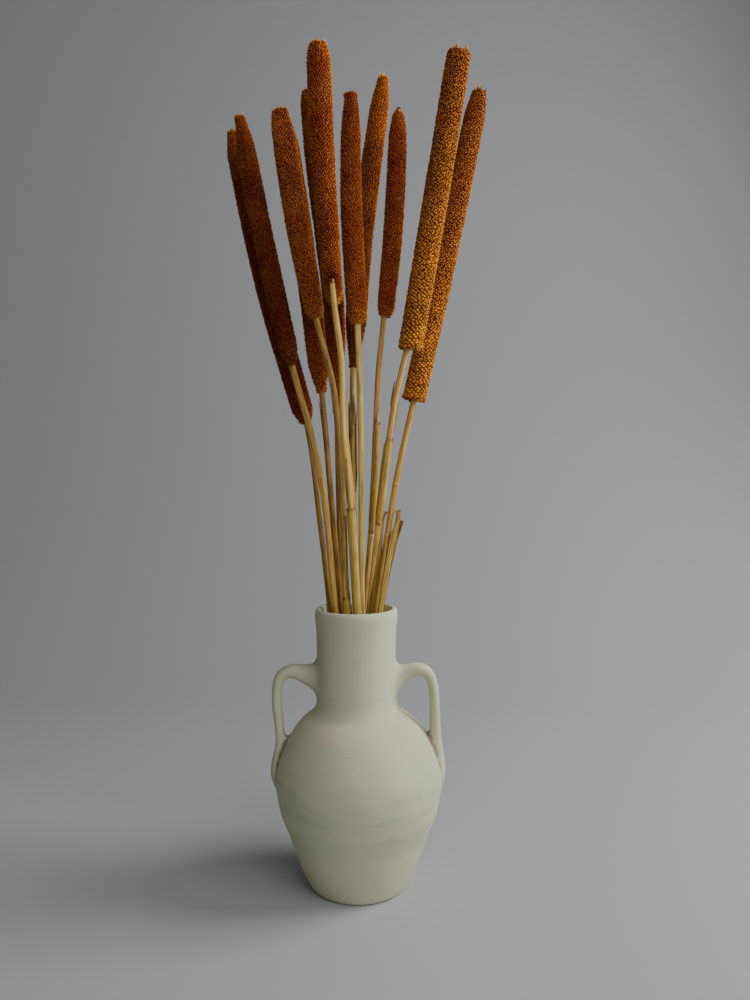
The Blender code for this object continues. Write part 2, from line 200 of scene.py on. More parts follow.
# The joints that show on the stalks: a height, and how far the ring stands out.
STALK_NODES = {"11": [(324.0, 0.35)], "02": [(331.0, 0.2)], "09": [(282.0, 0.2)]}
STALK_SIDES = 20
STALK_RINGS = 70
STALK_RIB = 0.05
STALK_OVAL = 0.05
STALK_CUT = (0.6, 0.0, 0.0)
JOINT_RINGS = np.array([-1.6, -0.8, -0.3, 0.0, 0.3, 0.8, 1.6])

# The leaf sheaths still on some stalks, as in the frame: lowest and highest point, the angle that the split
# faces, how far the leaf wraps round, how much it flares, how brown it is, and the outline of its torn top:
# an angle from the middle of the leaf and a share of the full height. A sheath grows out of its stalk: it
# starts at a depth inside it and rises over the length of its foot.
SHEATH_DEPTH = 0.40
SHEATH_RISE = 0.95
SHEATH_FOOT = 16.0
Sheath = namedtuple("Sheath", "bottom top opens_towards wrap flare brown torn")
SHEATHS = {
    "03": Sheath(204, 237, 70, 250, 0.10, 0.10,
                 [(-125, 0.80), (-90, 0.93), (-40, 1.0), (-15, 0.94), (10, 0.99), (60, 0.9), (125, 0.75)]),
    "06": Sheath(204, 307, 60, 320, 0.04, 0.05,
                 [(-160, 0.97), (-60, 1.0), (0, 0.992), (80, 0.998), (160, 0.96)]),
    "08": Sheath(318, 394, -70, 300, 0.22, 0.75,
                 [(-150, 0.7), (-120, 0.95), (-90, 0.7), (-50, 0.97), (-10, 0.8), (40, 1.0), (80, 0.72),
                  (115, 0.98), (150, 0.6)]),
    "09": Sheath(284, 377, 170, 270, 0.06, 0.35,
                 [(-135, 0.86), (-90, 1.0), (-30, 0.96), (40, 0.99), (90, 0.93), (135, 0.97)]),
    "10": Sheath(292, 362, 150, 280, 0.05, 0.30,
                 [(-140, 0.9), (-80, 1.0), (-20, 0.97), (60, 0.99), (140, 0.85)]),
    "11": Sheath(204, 298, -100, 290, 0.48, 0.55,
                 [(-145, 0.86), (-118, 0.92), (-96, 0.55), (-72, 0.9), (-60, 1.0), (-44, 0.6), (-24, 0.93),
                  (-4, 0.5), (20, 0.97), (34, 0.62), (62, 0.8), (84, 0.93), (110, 0.6), (145, 0.84)]),
}
SHEATH_COLUMNS = 64
SHEATH_ROWS = 26
SHEATH_THICKNESS = 0.28

# Loose strips of leaf lying along stalks: stem, lowest and highest point, angle round the stalk at both,
# width, how far the top stands off, how brown, and the angle that it faces if that isn't outward.
STRIPS = [
    ("06", 306, 362, 175, 178, 2.2, 0.5, 0.15, None),
    ("06", 304, 398, 2, 8, 2.2, 0.6, 0.10, -60),
    ("06", 308, 345, -100, -80, 1.8, 0.3, 0.20, None),
    ("04", 350, 392, -120, -150, 1.7, 1.0, 0.95, None),
    ("08", 372, 398, -60, -80, 2.0, 1.4, 0.9, None),
    ("10", 366, 390, 10, 25, 2.0, 1.5, 0.55, -60),
    ("10", 384, 404, -150, -170, 1.8, 1.2, 0.8, -110),
    ("11", 206, 304, -50, -25, 4.2, 2.6, 0.35, -80),
    ("11", 208, 305, -20, -4, 2.6, 4.0, 0.85, -90),
    ("11", 208, 297, 0, 6, 2.8, 5.2, 0.66, -100),
    ("11", 208, 302, 180, 186, 3.0, 1.0, 0.35, -95),
    ("03", 206, 300, -40, -35, 1.8, 0.4, 0.5, None),
    ("05", 250, 330, -90, -70, 1.8, 0.6, 0.6, None),
]
STRIP_ROWS = 22
STRIP_COLUMNS = 5
STRIP_THICKNESS = 0.16
# Strips narrow towards their tops, by this share; those on one stem stay blunt.
STRIP_NARROWS = 0.85
BLUNT_NARROWS = 0.20
BLUNT_STEM = "11"

# The vase: radii and heights, and each handle's x, height, half thickness and half width.
OUTER_OUTLINE = [
    (30.7, 226.0), (32.5, 225.2), (33.7, 222.6), (33.8, 218.4), (33.0, 211.0), (32.3, 198.0),
    (32.5, 154.0), (33.6, 145.5), (37.0, 140.0), (43.0, 135.8), (49.5, 129.8),
    (56.5, 120.0), (62.6, 108.5), (66.3, 98.0), (67.5, 87.0), (66.7, 75.0), (63.6, 60.0),
    (57.2, 43.5), (49.5, 21.5), (40.2, 1.6), (38.3, 0.0),
]
INNER_OUTLINE = [
    (0.0, 7.5), (27.0, 8.0), (36.5, 14.0), (44.2, 27.0), (52.0, 45.0), (58.0, 62.0), (60.8, 76.0),
    (61.6, 87.0), (60.4, 96.5), (56.6, 106.0), (50.6, 116.0), (44.0, 124.6), (37.5, 130.6),
    (30.8, 136.0), (27.7, 145.0), (27.4, 198.0), (27.7, 215.0), (28.4, 222.6),
    (29.2, 225.4),
]
NECK_LEAN = -2.2
LEAN_START = 110.0
LEAN_END = 165.0
LEFT_HANDLE = [
    (-31.4, 167.3, 13.2, 9.5), (-34.6, 168.0, 12.8, 9.2), (-40.5, 169.5, 10.4, 8.4), (-46.0, 171.2, 8.2, 7.8),
    (-52.5, 172.9, 6.4, 7.4), (-59.0, 172.0, 5.1, 7.0), (-64.0, 167.5, 4.8, 6.8), (-66.2, 159.0, 4.5, 6.6),
    (-66.6, 147.0, 4.5, 6.6), (-64.5, 125.5, 4.0, 7.2), (-64.0, 116.0, 3.9, 8.0),
    (-65.2, 107.5, 3.9, 9.5), (-67.3, 99.0, 3.9, 11.0), (-68.4, 91.0, 3.4, 11.5), (-68.0, 84.0, 2.4, 9.5),
    (-66.6, 78.0, 1.2, 6.0), (-65.4, 75.0, 0.6, 3.0),
]
RIGHT_HANDLE = [
    (27.4, 167.3, 12.8, 9.5), (30.4, 168.3, 12.0, 9.0), (34.6, 170.5, 8.8, 8.2), (40.8, 173.4, 6.4, 7.6),
    (47.2, 174.8, 5.4, 7.2), (53.2, 173.5, 5.0, 6.9), (57.4, 169.0, 4.7, 6.7), (60.2, 160.0, 4.5, 6.6),
    (61.3, 147.5, 4.6, 6.6), (61.9, 125.0, 4.7, 7.2), (62.8, 116.5, 4.6, 8.0),
    (64.6, 108.5, 4.2, 9.5), (66.2, 100.5, 3.8, 11.0), (67.2, 92.5, 3.2, 11.5), (67.3, 85.0, 2.2, 9.5),
    (66.4, 78.0, 1.2, 6.0), (65.2, 75.0, 0.6, 3.0),
]
HANDLE_SIDES = 28
HANDLE_RINGS = 90
# Where the handles' roots and pressed feet are: their x on either side, their height, how much distances
# across and up count there, and the distances at which their effect starts to fade and is gone.
# Both also mark the painted shade in the creases round the handles' roots and feet.
ROOTS = ((-34.0, 29.6), 168.0, (1.0, 0.8), (9.0, 21.0))
TABS = ((-67.0, 65.5), 90.0, (0.8, 0.7), (9.0, 17.0))
VASE_SIDES = 144
VASE_STEP = 1.5
VASE_WELD = 0.01
VASE_VOXEL = 2.0
# How many times the clay is smoothed: all over but its foot, at the handles' roots, and to find the seams
# that get a painted shadow.
SMOOTH_ROUNDS = 4
ROOT_ROUNDS = 26
SEAM_ROUNDS = 3
PLAIN = (0.0, 0.0, 0.0)

# The stage, in metres: the floor's front and back edge, the curve up to the wall and the wall's top; the
# lamps with their place, size, power and the height that they aim at; and the camera.
FLOOR_EDGES = (-3.0, 0.5)
FLOOR_HALF_WIDTH = 4.0
FLOOR_CURVE = 0.9
WALL_TOP = 3.0
LAMPS = {
    "side": ((1.25, 0.05, 1.02), 0.8, 21.0, 0.58),
    "front": ((0.95, -1.35, 1.25), 1.6, 19.0, 0.25),
}
ROOM_COLOUR = (0.30, 0.305, 0.315, 1.0)
ROOM_LIGHT = 0.45
CAMERA_PLACE = (0.013, -0.643, 0.3353)
CAMERA_TILT = 87.88
CAMERA_LENS = 28.8


def smooth_step(value, low, high):
    """From 0 at low to 1 at high, level at both."""
    share = np.clip((value - low) / (high - low), 0.0, 1.0)
    return share * share * (3.0 - 2.0 * share)


def unit(vectors):
    return vectors / np.linalg.norm(vectors, axis=-1, keepdims=True)


def full_turn(sides):
    """Even angles round a circle."""
    return np.arange(sides) * 2.0 * math.pi / sides


def around(angle, right, back):
    """The directions at angles round a line, from those to its right and its back."""
    return np.cos(angle)[..., None] * right + np.sin(angle)[..., None] * back


def shaped_end(distance, end):
    """The share of a head's radius at a distance from one of its ends."""
    width, taper, bluntness = end
    left = 1.0 - np.clip(distance / taper, 0.0, 1.0)
    return width + (1.0 - width) * (1.0 - left**bluntness)


def ripple(angle, along, seed, wavelength):
    """A smooth uneven field on a stem's surface, from -1 to 1."""
    rng = np.random.default_rng(seed)
    total = np.zeros(np.broadcast(angle, along).shape)
    waves = 5
    for _ in range(waves):
        turns = rng.integers(0, 4)
        pace = 2.0 * math.pi / wavelength * rng.uniform(0.4, 1.4) * rng.choice([-1.0, 1.0])
        total += np.sin(turns * angle + pace * along + rng.uniform(0.0, 2.0 * math.pi))
    return total / waves


class Route:
    """A smooth line through points, read by its length in millimetres."""

    def __init__(self, points):
        self.points = np.array(points, float)
        steps = np.linalg.norm(np.diff(self.points, axis=0), axis=1)
        self.knots = np.concatenate([[0.0], np.cumsum(steps)])
        index = np.arange(len(self.points))
        low = np.maximum(index - 1, 0)
        high = np.minimum(index + 1, len(self.points) - 1)
        spans = (self.knots[high] - self.knots[low])[:, None]
        self.slopes = (self.points[high] - self.points[low]) / spans

    def at(self, lengths):
        """The Hermite curve's points at lengths along the chords."""
        lengths = np.asarray(lengths, float)
        index = np.clip(np.searchsorted(self.knots, lengths) - 1, 0, len(self.points) - 2)
        span = (self.knots[index + 1] - self.knots[index])[..., None]
        t = (lengths - self.knots[index])[..., None] / span
        return (
            self.points[index] * (2 * t**3 - 3 * t**2 + 1)
            + self.slopes[index] * span * (t**3 - 2 * t**2 + t)
            + self.points[index + 1] * (3 * t**2 - 2 * t**3)
            + self.slopes[index + 1] * span * (t**3 - t**2)
        )

    def frame(self, lengths):
        """The points at lengths, with the directions to the right, to the back and along the line."""
        lengths = np.asarray(lengths, float)
        along = unit(self.at(lengths + 0.5) - self.at(lengths - 0.5))
        right = unit(np.array([1.0, 0.0, 0.0]) - along * along[..., :1])
        back = np.cross(along, right)
        return self.at(lengths), right, back, along

    def length_at_height(self, height):
        """The length at which a rising line reaches a height."""
        lengths = np.linspace(0.0, self.knots[-1], 4000)
        return float(np.interp(height, self.at(lengths)[:, 2], lengths))


def wrapped(route, lengths, angles, radii):
    """Points round a route, a row for each length and a column for each angle."""
    centre, right, back, _ = route.frame(lengths)
    return centre[:, None] + around(angles, right[:, None], back[:, None]) * radii[..., None]


def lattice_faces(rows, columns, closed):
    """Four-sided faces between rows of points; a closed lattice joins its last column to its first."""
    last = columns if closed else columns - 1
    row, column = np.meshgrid(np.arange(rows - 1), np.arange(last), indexing="ij")
    following = (column + 1) % columns
    corners = (row * columns + column, row * columns + following,
               (row + 1) * columns + following, (row + 1) * columns + column)
    return np.stack([corner.ravel() for corner in corners], axis=1)


def linked(name, data):
    """A new object in the scene, for a mesh, lamp or camera."""
    thing = bpy.data.objects.new(name, data)
    bpy.context.scene.collection.objects.link(thing)
    return thing


class Shape:
    """Points and faces gathered for one mesh, with a look for each point."""

    def __init__(self):
        self.points = []
        self.faces = []
        self.looks = []
        self.flows = []
        self.count = 0

    def add(self, points, faces, look, flow=None):
        """Add points (n, 3), lists of face rows, and each point's look and flow vectors."""
        points = np.asarray(points).reshape(-1, 3)
        look = np.broadcast_to(np.asarray(look, float), (len(points), 3)) if np.ndim(look) == 1 else look
        flow = points if flow is None else flow
        for rows in faces:
            self.faces.extend((rows + self.count).tolist())
        self.points.append(points)
        self.looks.append(np.asarray(look).reshape(-1, 3))
        self.flows.append(np.asarray(flow).reshape(-1, 3))
        self.count += len(points)

    def cap(self, ring, middle, upward, look):
        """Add triangles from a ring of points to one middle point."""
        first = np.arange(len(ring))
        second = np.roll(first, -1)
        last = np.full(len(ring), len(ring))
        rows = [first, second, last] if upward else [second, first, last]
        self.add(np.vstack([ring, middle]), [np.stack(rows, axis=1)], look)

    def build(self, name, material):
        """The mesh object, smooth, with its looks and flows as attributes."""
        mesh = bpy.data.meshes.new(name)
        points = np.concatenate(self.points)
        points[:, 0] = np.clip(points[:, 0], *BOX_SIDES)
        mesh.from_pydata((points * MM).tolist(), [], self.faces)
        for title, values in (("look", self.looks), ("flow", self.flows)):
            layer = mesh.attributes.new(title, "FLOAT_VECTOR", "POINT")
            layer.data.foreach_set("vector", np.concatenate(values).astype(np.float32).ravel())
        mesh.materials.append(material)
        mesh.shade_smooth()
        return linked(name, mesh)


def place(thing, slot, *nodes):
    """A finished piece: on the body, in place of its nodes. Its slot is not used."""
    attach(thing, BODY)
    if nodes:
        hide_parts(*nodes)


def stalk_route(stem):
    """The stalk's line, led on towards the head so that it keeps its curve."""
    return Route(stem.stalk + stem.head[1:])


def tapered_radius(stem, route, lengths):
    """A stalk's radius at lengths: a little less towards its end."""
    share = np.clip(lengths / route.knots[len(stem.stalk) - 1], 0.0, 1.0)
    return stem.stalk_radius * (STALK_TAPER[0] + (STALK_TAPER[1] - STALK_TAPER[0]) * share)


def build_stalk(number, stem, material):
    """A straw: finely ribbed, a little bent out of round, with its joints."""
    route = stalk_route(stem)
    end = route.knots[len(stem.stalk) - 1]
    top = end + (BARE_HEIGHT if number == BARE_HEAD else 1.5)
    lengths = np.linspace(0.0, top, STALK_RINGS)
    nodes = [(route.length_at_height(height), swell) for height, swell in STALK_NODES.get(number, [])]
    for length, _ in nodes:
        lengths = np.concatenate([lengths, length + JOINT_RINGS])
    lengths = np.sort(lengths)
    angles = full_turn(STALK_SIDES)
    seed = int(number)
    grooves = STALK_RIB * np.sin(angles * 10.0 + seed) * (1.0 + ripple(angles, lengths[:, None], seed, 160.0))
    oval = STALK_OVAL * np.sin(2.0 * angles + seed + lengths[:, None] / 70.0)
    radii = tapered_radius(stem, route, lengths)[:, None] * (0.96 + oval) + grooves
    joint = np.zeros(len(lengths))
    for length, swell in nodes:
        bump = np.exp(-((lengths - length) / 0.7) ** 2)
        radii += swell * bump[:, None]
        joint = np.maximum(joint, bump)
    points = wrapped(route, lengths, np.broadcast_to(angles, radii.shape), radii)
    middles = route.at([lengths[0], lengths[-1]])
    if number == BARE_HEAD:
        shrink = 1.0 - 0.12 * smooth_step(lengths, end - 20.0, top)
        middle = points.mean(axis=1, keepdims=True)
        points = middle + (points - middle) * shrink[:, None, None]
        points[:, :, 1] -= BARE_FORWARD * smooth_step(lengths, end - 14.0, end + 5.0)[:, None]
        middles[1, 1] -= BARE_FORWARD
    brown, pale = STALK_LOOKS[number]
    uneven = 0.10 * ripple(angles, lengths[:, None], seed + 40, 90.0)
    # Painted shade: the stalks darken below the vase's mouth, inside its neck.
    depth = smooth_step(lengths, 225.0, 190.0)[:, None]
    brown = np.clip(brown + uneven + 0.25 * depth, 0.0, 1.0)
    pale = np.clip(pale + uneven + 0.5 * joint[:, None], 0.0, 1.0)
    looks = np.stack([brown, pale, radii * 0.0], axis=-1)
    flows = np.stack([
        np.cos(angles) * radii + seed * 30.0, np.sin(angles) * radii,
        np.broadcast_to(lengths[:, None], radii.shape),
    ], axis=-1)
    shape = Shape()
    shape.add(points, [lattice_faces(len(lengths), STALK_SIDES, True)], looks, flows)
    shape.cap(points[0], middles[0], False, STALK_CUT)
    shape.cap(points[-1], middles[1], True, STALK_CUT)
    place(shape.build("straw_" + number, material), "straw", "stalk_" + number)


def head_radius(stem, share):
    """A head's plain radius: a parabola through its three radii."""
    low, middle, top = stem.head_radii
    rise = top - low
    bulge = 4.0 * middle - 2.0 * (low + top)
    return low + rise * share + bulge * share * (1.0 - share)


def head_outline(stem, length, drop):
    """Distances along a head and radii, from the edge of its base to the middle of its domed crown."""
    side = np.arange(0.0, length - drop - DOME_HEIGHT, OUTLINE_STEP)
    radii = head_radius(stem, side / length)
    radii = radii * shaped_end(side, stem.base) * shaped_end(length - side, stem.crown)
    turn = np.linspace(0.0, math.pi / 2.0, DOME_ROWS + 1)[1:]
    dome = side[-1] + DOME_HEIGHT * np.sin(turn)
    return np.concatenate([side, dome]), np.concatenate([radii, radii[-1] * np.cos(turn)])


def in_groove(angle, along, radius):
    """Whether a point of the head is in the groove that its stalk lies in."""
    across = np.abs(np.cos(angle)) * radius
    return (np.sin(angle) < 0.0) & (across < BARE_WIDTH) & (along < BARE_HEIGHT + 0.5)


def add_core(shape, route, outline, look_at, shade):
    """The inside that shows between the grains: dark red-brown, partly its own colour and partly painted
    shade in the gaps.
    """
    along, radii = outline
    dome = len(along) - DOME_ROWS
    rows = np.union1d(np.linspace(0, dome, CORE_ROWS).astype(int), np.arange(dome, len(along), 3))
    lift = np.maximum(radii[rows] - CORE_SUNK, 0.05)[:, None] * np.ones(CORE_SIDES)
    angles = np.broadcast_to(full_turn(CORE_SIDES), lift.shape)
    points = wrapped(route, np.minimum(along[rows], along[-1] - CORE_SUNK), angles, lift)
    looks = look_at(np.broadcast_to(along[rows][:, None], lift.shape), shade, CORE_LIGHT)
    shape.add(points, [lattice_faces(len(rows), CORE_SIDES, True)], looks)
    looks = look_at(np.zeros(CORE_SIDES + 1), shade, CORE_LIGHT)
    shape.cap(points[0], route.at([0.0]), False, looks)


def add_grains(shape, tips, directions, across, lengths, widths, grain, pale, look_at, along, tones):
    """Small swollen seeds: a few rings and a tip each."""
    count = len(tips)
    sides = grain["sides"]
    depth = unit(np.cross(directions, across))
    across = np.cross(depth, directions)
    turns = full_turn(sides)
    wheel = around(turns, across[:, None], depth[:, None])
    rings = []
    tip_shade_and_highlight = []
    # A ring's look runs from painted shade low between the grains to a painted highlight at the tip, over the
    # grains' own paler tips.
    for level, width, shade in grain["rings"]:
        middle = tips - directions * (lengths * (1.0 - level))[:, None]
        rings.append(middle[:, None] + wheel * (widths * width)[:, None, None])
        tip_shade_and_highlight += [shade * pale] * sides
    points = np.concatenate(rings + [tips[:, None]], axis=1)
    tip_shade_and_highlight.append(pale)
    each = len(tip_shade_and_highlight)
    first = (np.arange(count) * each)[:, None]
    near = np.arange(sides)
    far = (near + 1) % sides
    faces = []
    for ring in range(len(grain["rings"]) - 1):
        low = first + ring * sides
        corners = [low + near, low + far, low + sides + far, low + sides + near]
        faces.append(np.stack(corners, axis=-1).reshape(-1, 4))
    top = first + (len(grain["rings"]) - 1) * sides
    apex = np.broadcast_to(first + each - 1, (count, sides))
    faces.append(np.stack([top + near, top + far, apex], axis=-1).reshape(-1, 3))
    looks = look_at(np.repeat(along[:, None], each, axis=1), np.broadcast_to(tip_shade_and_highlight, (count, each)),
                    np.repeat(tones[:, None], each, axis=1))
    shape.add(points, faces, looks)


def add_needles(shape, roots, tips, radius, looks_root, looks_tip):
    """Thin three-sided spikes from roots to tips."""
    count = len(roots)
    heading = unit(tips - roots)
    side = unit(np.cross(heading, [0.31, 0.57, 0.76]))
    other = np.cross(heading, side)
    turns = full_turn(3)
    ring = roots[:, None] + radius[:, None, None] * around(turns, side[:, None], other[:, None])
    points = np.concatenate([ring, tips[:, None]], axis=1)
    first = (np.arange(count) * 4)[:, None]
    near = np.arange(3)
    faces = np.stack([first + near, first + (near + 1) % 3, np.broadcast_to(first + 3, (count, 3))], axis=-1)
    looks = np.concatenate([np.repeat(looks_root[:, None], 3, axis=1), looks_tip[:, None]], axis=1)
    shape.add(points, [faces.reshape(-1, 3)], looks)


def surface_steps(along_rows, radius_rows):
    """The slanted steps between the rows of a head's outline."""
    return np.hypot(np.diff(along_rows), np.diff(radius_rows))


def build_head(number, stem, material):
    """A seed head: a dark core under thousands of grains, with teeth on its crown and fuzz at its base."""
    look = HEAD_LOOKS[number]
    grain = look.grain
    rng = np.random.default_rng(int(number))
    route = Route(stem.head)
    length = route.knots[-1]
    outline = head_outline(stem, length, look.drop)
    along_rows, radius_rows = outline

    def look_at(along, tip, tone):
        """A point's look: how near a grain's tip (low is painted shade, high partly a painted highlight), how
        golden, how light.
        """
        share = np.clip(along / length, 0.0, 1.0)
        gold, light = [low + (high - low) * share for low, high in (look.gold, look.light)]
        parts = np.broadcast_arrays(tip, gold, light * tone)
        return np.stack(parts, axis=-1).reshape(-1, 3)

    bands = math.pi * (radius_rows[1:] + radius_rows[:-1]) * surface_steps(*outline)
    bigger = 1.0 + look.swell * (1.0 - along_rows / length)**4
    each_area = grain["area"] * (bigger[1:] + bigger[:-1]) / 2.0
    counts = np.concatenate([[0.0], np.cumsum(bands / each_area)])
    count = int(counts[-1])
    every_row = np.arange(len(counts))
    row = np.interp(np.arange(count) + 0.5, counts, every_row)
    stray = grain["jitter"] * math.sqrt(grain["area"])
    along = np.interp(row, every_row, along_rows) + rng.normal(0.0, stray, count)
    along = np.clip(along, 0.0, along_rows[-1])
    radius = np.interp(row, every_row, radius_rows)
    angle = np.arange(count) * GOLDEN_ANGLE + rng.normal(0.0, stray, count) / np.maximum(radius, 1.0)
    rise = np.interp(row, every_row, np.gradient(along_rows))
    spread = np.interp(row, every_row, np.gradient(radius_rows))
    slant = np.hypot(rise, spread)
    centre, right, back, forward = route.frame(along)
    radial = around(angle, right, back)
    normal = (rise / slant)[:, None] * radial - (spread / slant)[:, None] * forward
    lumps = 0.985 + 0.015 * ripple(angle, along, int(number), 60.0)
    reach = radius * lumps + rng.uniform(*GRAIN_DEPTHS, count) * np.minimum(1.0, radius / 6.0)
    tips = centre + radial * reach[:, None]
    lean = grain["lean"] * smooth_step(along, -2.0, 14.0) * smooth_step(radius, 0.0, 5.0)
    wander = rng.normal(0.0, 0.10, (count, 3))
    directions = unit(normal + forward * lean[:, None] + wander)
    across = unit(np.cross(forward, radial))
    sizes = np.clip(rng.normal(1.0, 0.07, count), 0.8, 1.2) * np.sqrt(np.interp(along, along_rows, bigger))
    keep = rng.uniform(size=count) > GRAINS_LOST
    if number == BARE_HEAD:
        keep &= ~in_groove(angle, along, radius)
    tones = np.clip(rng.normal(1.0, 0.19, count), 0.5, 1.5)
    shape = Shape()
    add_core(shape, route, outline, look_at, grain["inside"])
    add_grains(shape, tips[keep], directions[keep], across[keep], (grain["length"] * sizes)[keep],
               (grain["width"] * sizes)[keep], grain, look.pale, look_at, along[keep], tones[keep])
    add_bristles(shape, route, outline, number, look_at, rng)
    add_teeth(shape, route, length, outline, look, look_at, rng)
    if number == KNOB_HEAD:
        add_knob(shape, route, length, look_at)
    add_foot_hairs(shape, route, stem, number, look_at, rng)
    add_fringe(shape, route, stem, grain, look_at, rng)
    if number == BARE_HEAD:
        add_tuft(shape, route, stem, look_at, rng)
    place(shape.build("seed_head_" + number, material), "seed", "head_" + number)


def add_bristles(shape, route, outline, number, look_at, rng):
    """Flat golden bristles that stand between the grains, up to their tips."""
    along_rows, radius_rows = outline
    count = int(BRISTLES * 2.0 * math.pi * np.sum(radius_rows[1:] * surface_steps(*outline)))
    along = rng.uniform(1.0, along_rows[-DOME_ROWS], count)
    radius = np.interp(along, along_rows, radius_rows)
    angle = rng.uniform(0.0, 2.0 * math.pi, count)
    if number == BARE_HEAD:
        free = ~in_groove(angle, along, radius)
        along, radius, angle, count = along[free], radius[free], angle[free], int(free.sum())
    centre, right, back, forward = route.frame(along)
    side = around(angle, right, back)
    round_it = np.cross(forward, side)
    turn = rng.uniform(0.0, math.pi, count)[:, None]
    flat = (np.cos(turn) * round_it + np.sin(turn) * forward) * BRISTLE_HALF_WIDTH
    roots = centre + side * (radius - CORE_SUNK)[:, None]
    tips = centre + side * (radius + rng.uniform(-0.5, 0.05, count))[:, None] + (
        forward * rng.uniform(0.2, 1.6, count)[:, None] + round_it * rng.normal(0.0, 0.4, (count, 1)))
    points = np.stack([roots - flat, roots + flat, tips], axis=1)
    faces = np.arange(count * 3).reshape(-1, 3)
    each = ((0.30, 1.0), (0.40, 1.0), (0.72, 1.1))
    looks = np.stack([look_at(along, tip, tone) for tip, tone in each], axis=1)
    looks[:, :, 1] = np.clip(looks[:, :, 1] + 0.4, 0.0, 1.0)
    shape.add(points, [faces], looks.reshape(-1, 3))


def add_teeth(shape, route, length, outline, look, look_at, rng):
    """The ragged crown: the teeth of its outline, and smaller ones all over its dome."""
    across, below, half_width, tone = [np.array(column) for column in zip(*look.teeth)]
    depth = rng.uniform(-1.5, 1.5, len(across))
    wide = outline[1][-DOME_ROWS]
    share = np.sqrt(rng.uniform(0.02, 1.0, DOME_TEETH))
    turn = rng.uniform(0.0, 2.0 * math.pi, DOME_TEETH)
    off = share * wide * 0.9
    small = (off * np.cos(turn), off * np.sin(turn),
             look.drop * rng.uniform(0.45, 0.85, DOME_TEETH) + 0.8 * share**2,
             rng.uniform(0.7, 1.05, DOME_TEETH), rng.uniform(0.7, 1.1, DOME_TEETH))
    pairs = zip((across, depth, below, half_width, tone), small)
    across, depth, below, half_width, tone = [np.concatenate(pair) for pair in pairs]
    top = length - below - 0.15
    centre, right, back, forward = route.frame(top)
    offset = across[:, None] * right + depth[:, None] * back
    outward = unit(offset + 0.001 * right)
    tips = centre + offset
    directions = unit(forward + outward * (0.10 * np.hypot(across, depth) / wide)[:, None])
    lengths = look.drop - below + 4.5
    add_grains(shape, tips, directions, np.cross(forward, outward), lengths, half_width, TOOTH, 0.9, look_at,
               np.full(len(top), length), tone)
    pick = rng.integers(0, len(top), WHISKERS)
    spread = rng.normal(0.0, 0.8, (2, WHISKERS, 1))
    rise = rng.uniform(-1.2, 1.6, WHISKERS)
    stray = spread[0] * right[pick] + spread[1] * back[pick]
    ends = tips[pick] + stray + rise[:, None] * forward[pick]
    ends[:, 2] = np.minimum(ends[:, 2], WHISKER_TOP)
    ends[:, 0] = np.clip(ends[:, 0], *WHISKER_SIDES)
    roots = tips[pick] + 0.4 * stray - 3.0 * forward[pick]
    at = np.full(WHISKERS, length)
    add_needles(shape, roots, ends, rng.uniform(0.20, 0.42, WHISKERS), look_at(at, 0.5, tone[pick]),
                look_at(at, 0.95, tone[pick]))


def add_knob(shape, route, length, look_at):
    """The bare dark end of the stem, standing out of the crown."""
    half_width, tall = KNOB_SIZE
    centre, right, _, forward = route.frame(np.array([length - 0.2]))
    add_grains(shape, centre, forward, right, np.array([tall]), np.array([half_width]), KNOB, 0.12, look_at,
               np.array([length]), np.array([0.45]))


def add_foot_hairs(shape, route, stem, number, look_at, rng):
    """Pale hairs and broken bracts round the foot of a head."""
    count = FOOT_HAIRS
    angle = rng.uniform(0.0, 2.0 * math.pi, count)
    taper = min(stem.base[1], 16.0)
    along = rng.uniform(0.0, 1.0, count)**1.5 * (taper * 0.7 + 3.0)
    radius = head_radius(stem, 0.0) * shaped_end(along, stem.base)
    angle = np.where(in_groove(angle, along, radius) & (number == BARE_HEAD), angle + math.pi, angle)
    centre, right, back, forward = route.frame(along)
    side = around(angle, right, back)
    roots = centre + side * (radius * 0.55)[:, None]
    droop = rng.uniform(-1.2, 1.2, count)
    reach = radius + rng.uniform(-0.4, 1.0, count)
    tips = centre + side * reach[:, None] + forward * np.maximum(droop, -along - 0.5)[:, None]
    dark = look_at(along, 0.40, 1.0)
    light = look_at(along, 0.80, 1.25)
    light[:, 1] = np.clip(light[:, 1] + 0.5, 0.0, 1.0)
    add_needles(shape, roots, tips, rng.uniform(0.22, 0.45, count), dark, light)


def add_fringe(shape, route, stem, grain, look_at, rng):
    """Loose grains that hang from the edge of a head's foot."""
    count = FRINGE
    angle = np.arange(count) * GOLDEN_ANGLE
    along = rng.uniform(0.0, 2.5, count)
    radius = head_radius(stem, 0.0) * shaped_end(along, stem.base)
    centre, right, back, forward = route.frame(along)
    side = around(angle, right, back)
    hang = unit(side - forward * rng.uniform(0.4, 1.5, count)[:, None])
    tips = centre + side * (radius * rng.uniform(0.75, 1.0, count))[:, None]
    tips = tips + hang * rng.uniform(0.0, grain["hang"], count)[:, None]
    size = rng.uniform(0.8, 1.15, count)
    width = grain["width"] * 0.85 * size
    add_grains(shape, tips, hang, np.cross(forward, side), 2.0 * size, width, grain, 1.0, look_at, along,
               rng.uniform(0.8, 1.2, count))


def add_tuft(shape, route, stem, look_at, rng):
    """The dark torn tuft over the end of the stalk that lies in the groove."""
    count = TUFT_HAIRS
    along = BARE_HEIGHT + rng.uniform(-2.5, 6.0, count)
    sideways = rng.normal(0.0, 2.0, count)
    radius = head_radius(stem, along / route.knots[-1]) * shaped_end(along, stem.base)
    sideways = np.clip(sideways, -0.8 * radius, 0.8 * radius)
    depth = -np.sqrt(radius**2 - sideways**2)
    centre, right, back, forward = route.frame(along)
    roots = centre + sideways[:, None] * right + (depth + 1.0)[:, None] * back
    tips = (centre + (sideways + rng.normal(0.0, 0.7, count))[:, None] * right
            + (depth - rng.uniform(0.1, 0.7, count))[:, None] * back
            + forward * rng.uniform(-2.2, 0.6, count)[:, None])
    add_needles(shape, roots, tips, rng.uniform(0.30, 0.55, count), look_at(along, 0.10, 0.6),
                look_at(along, 0.50, 0.75))


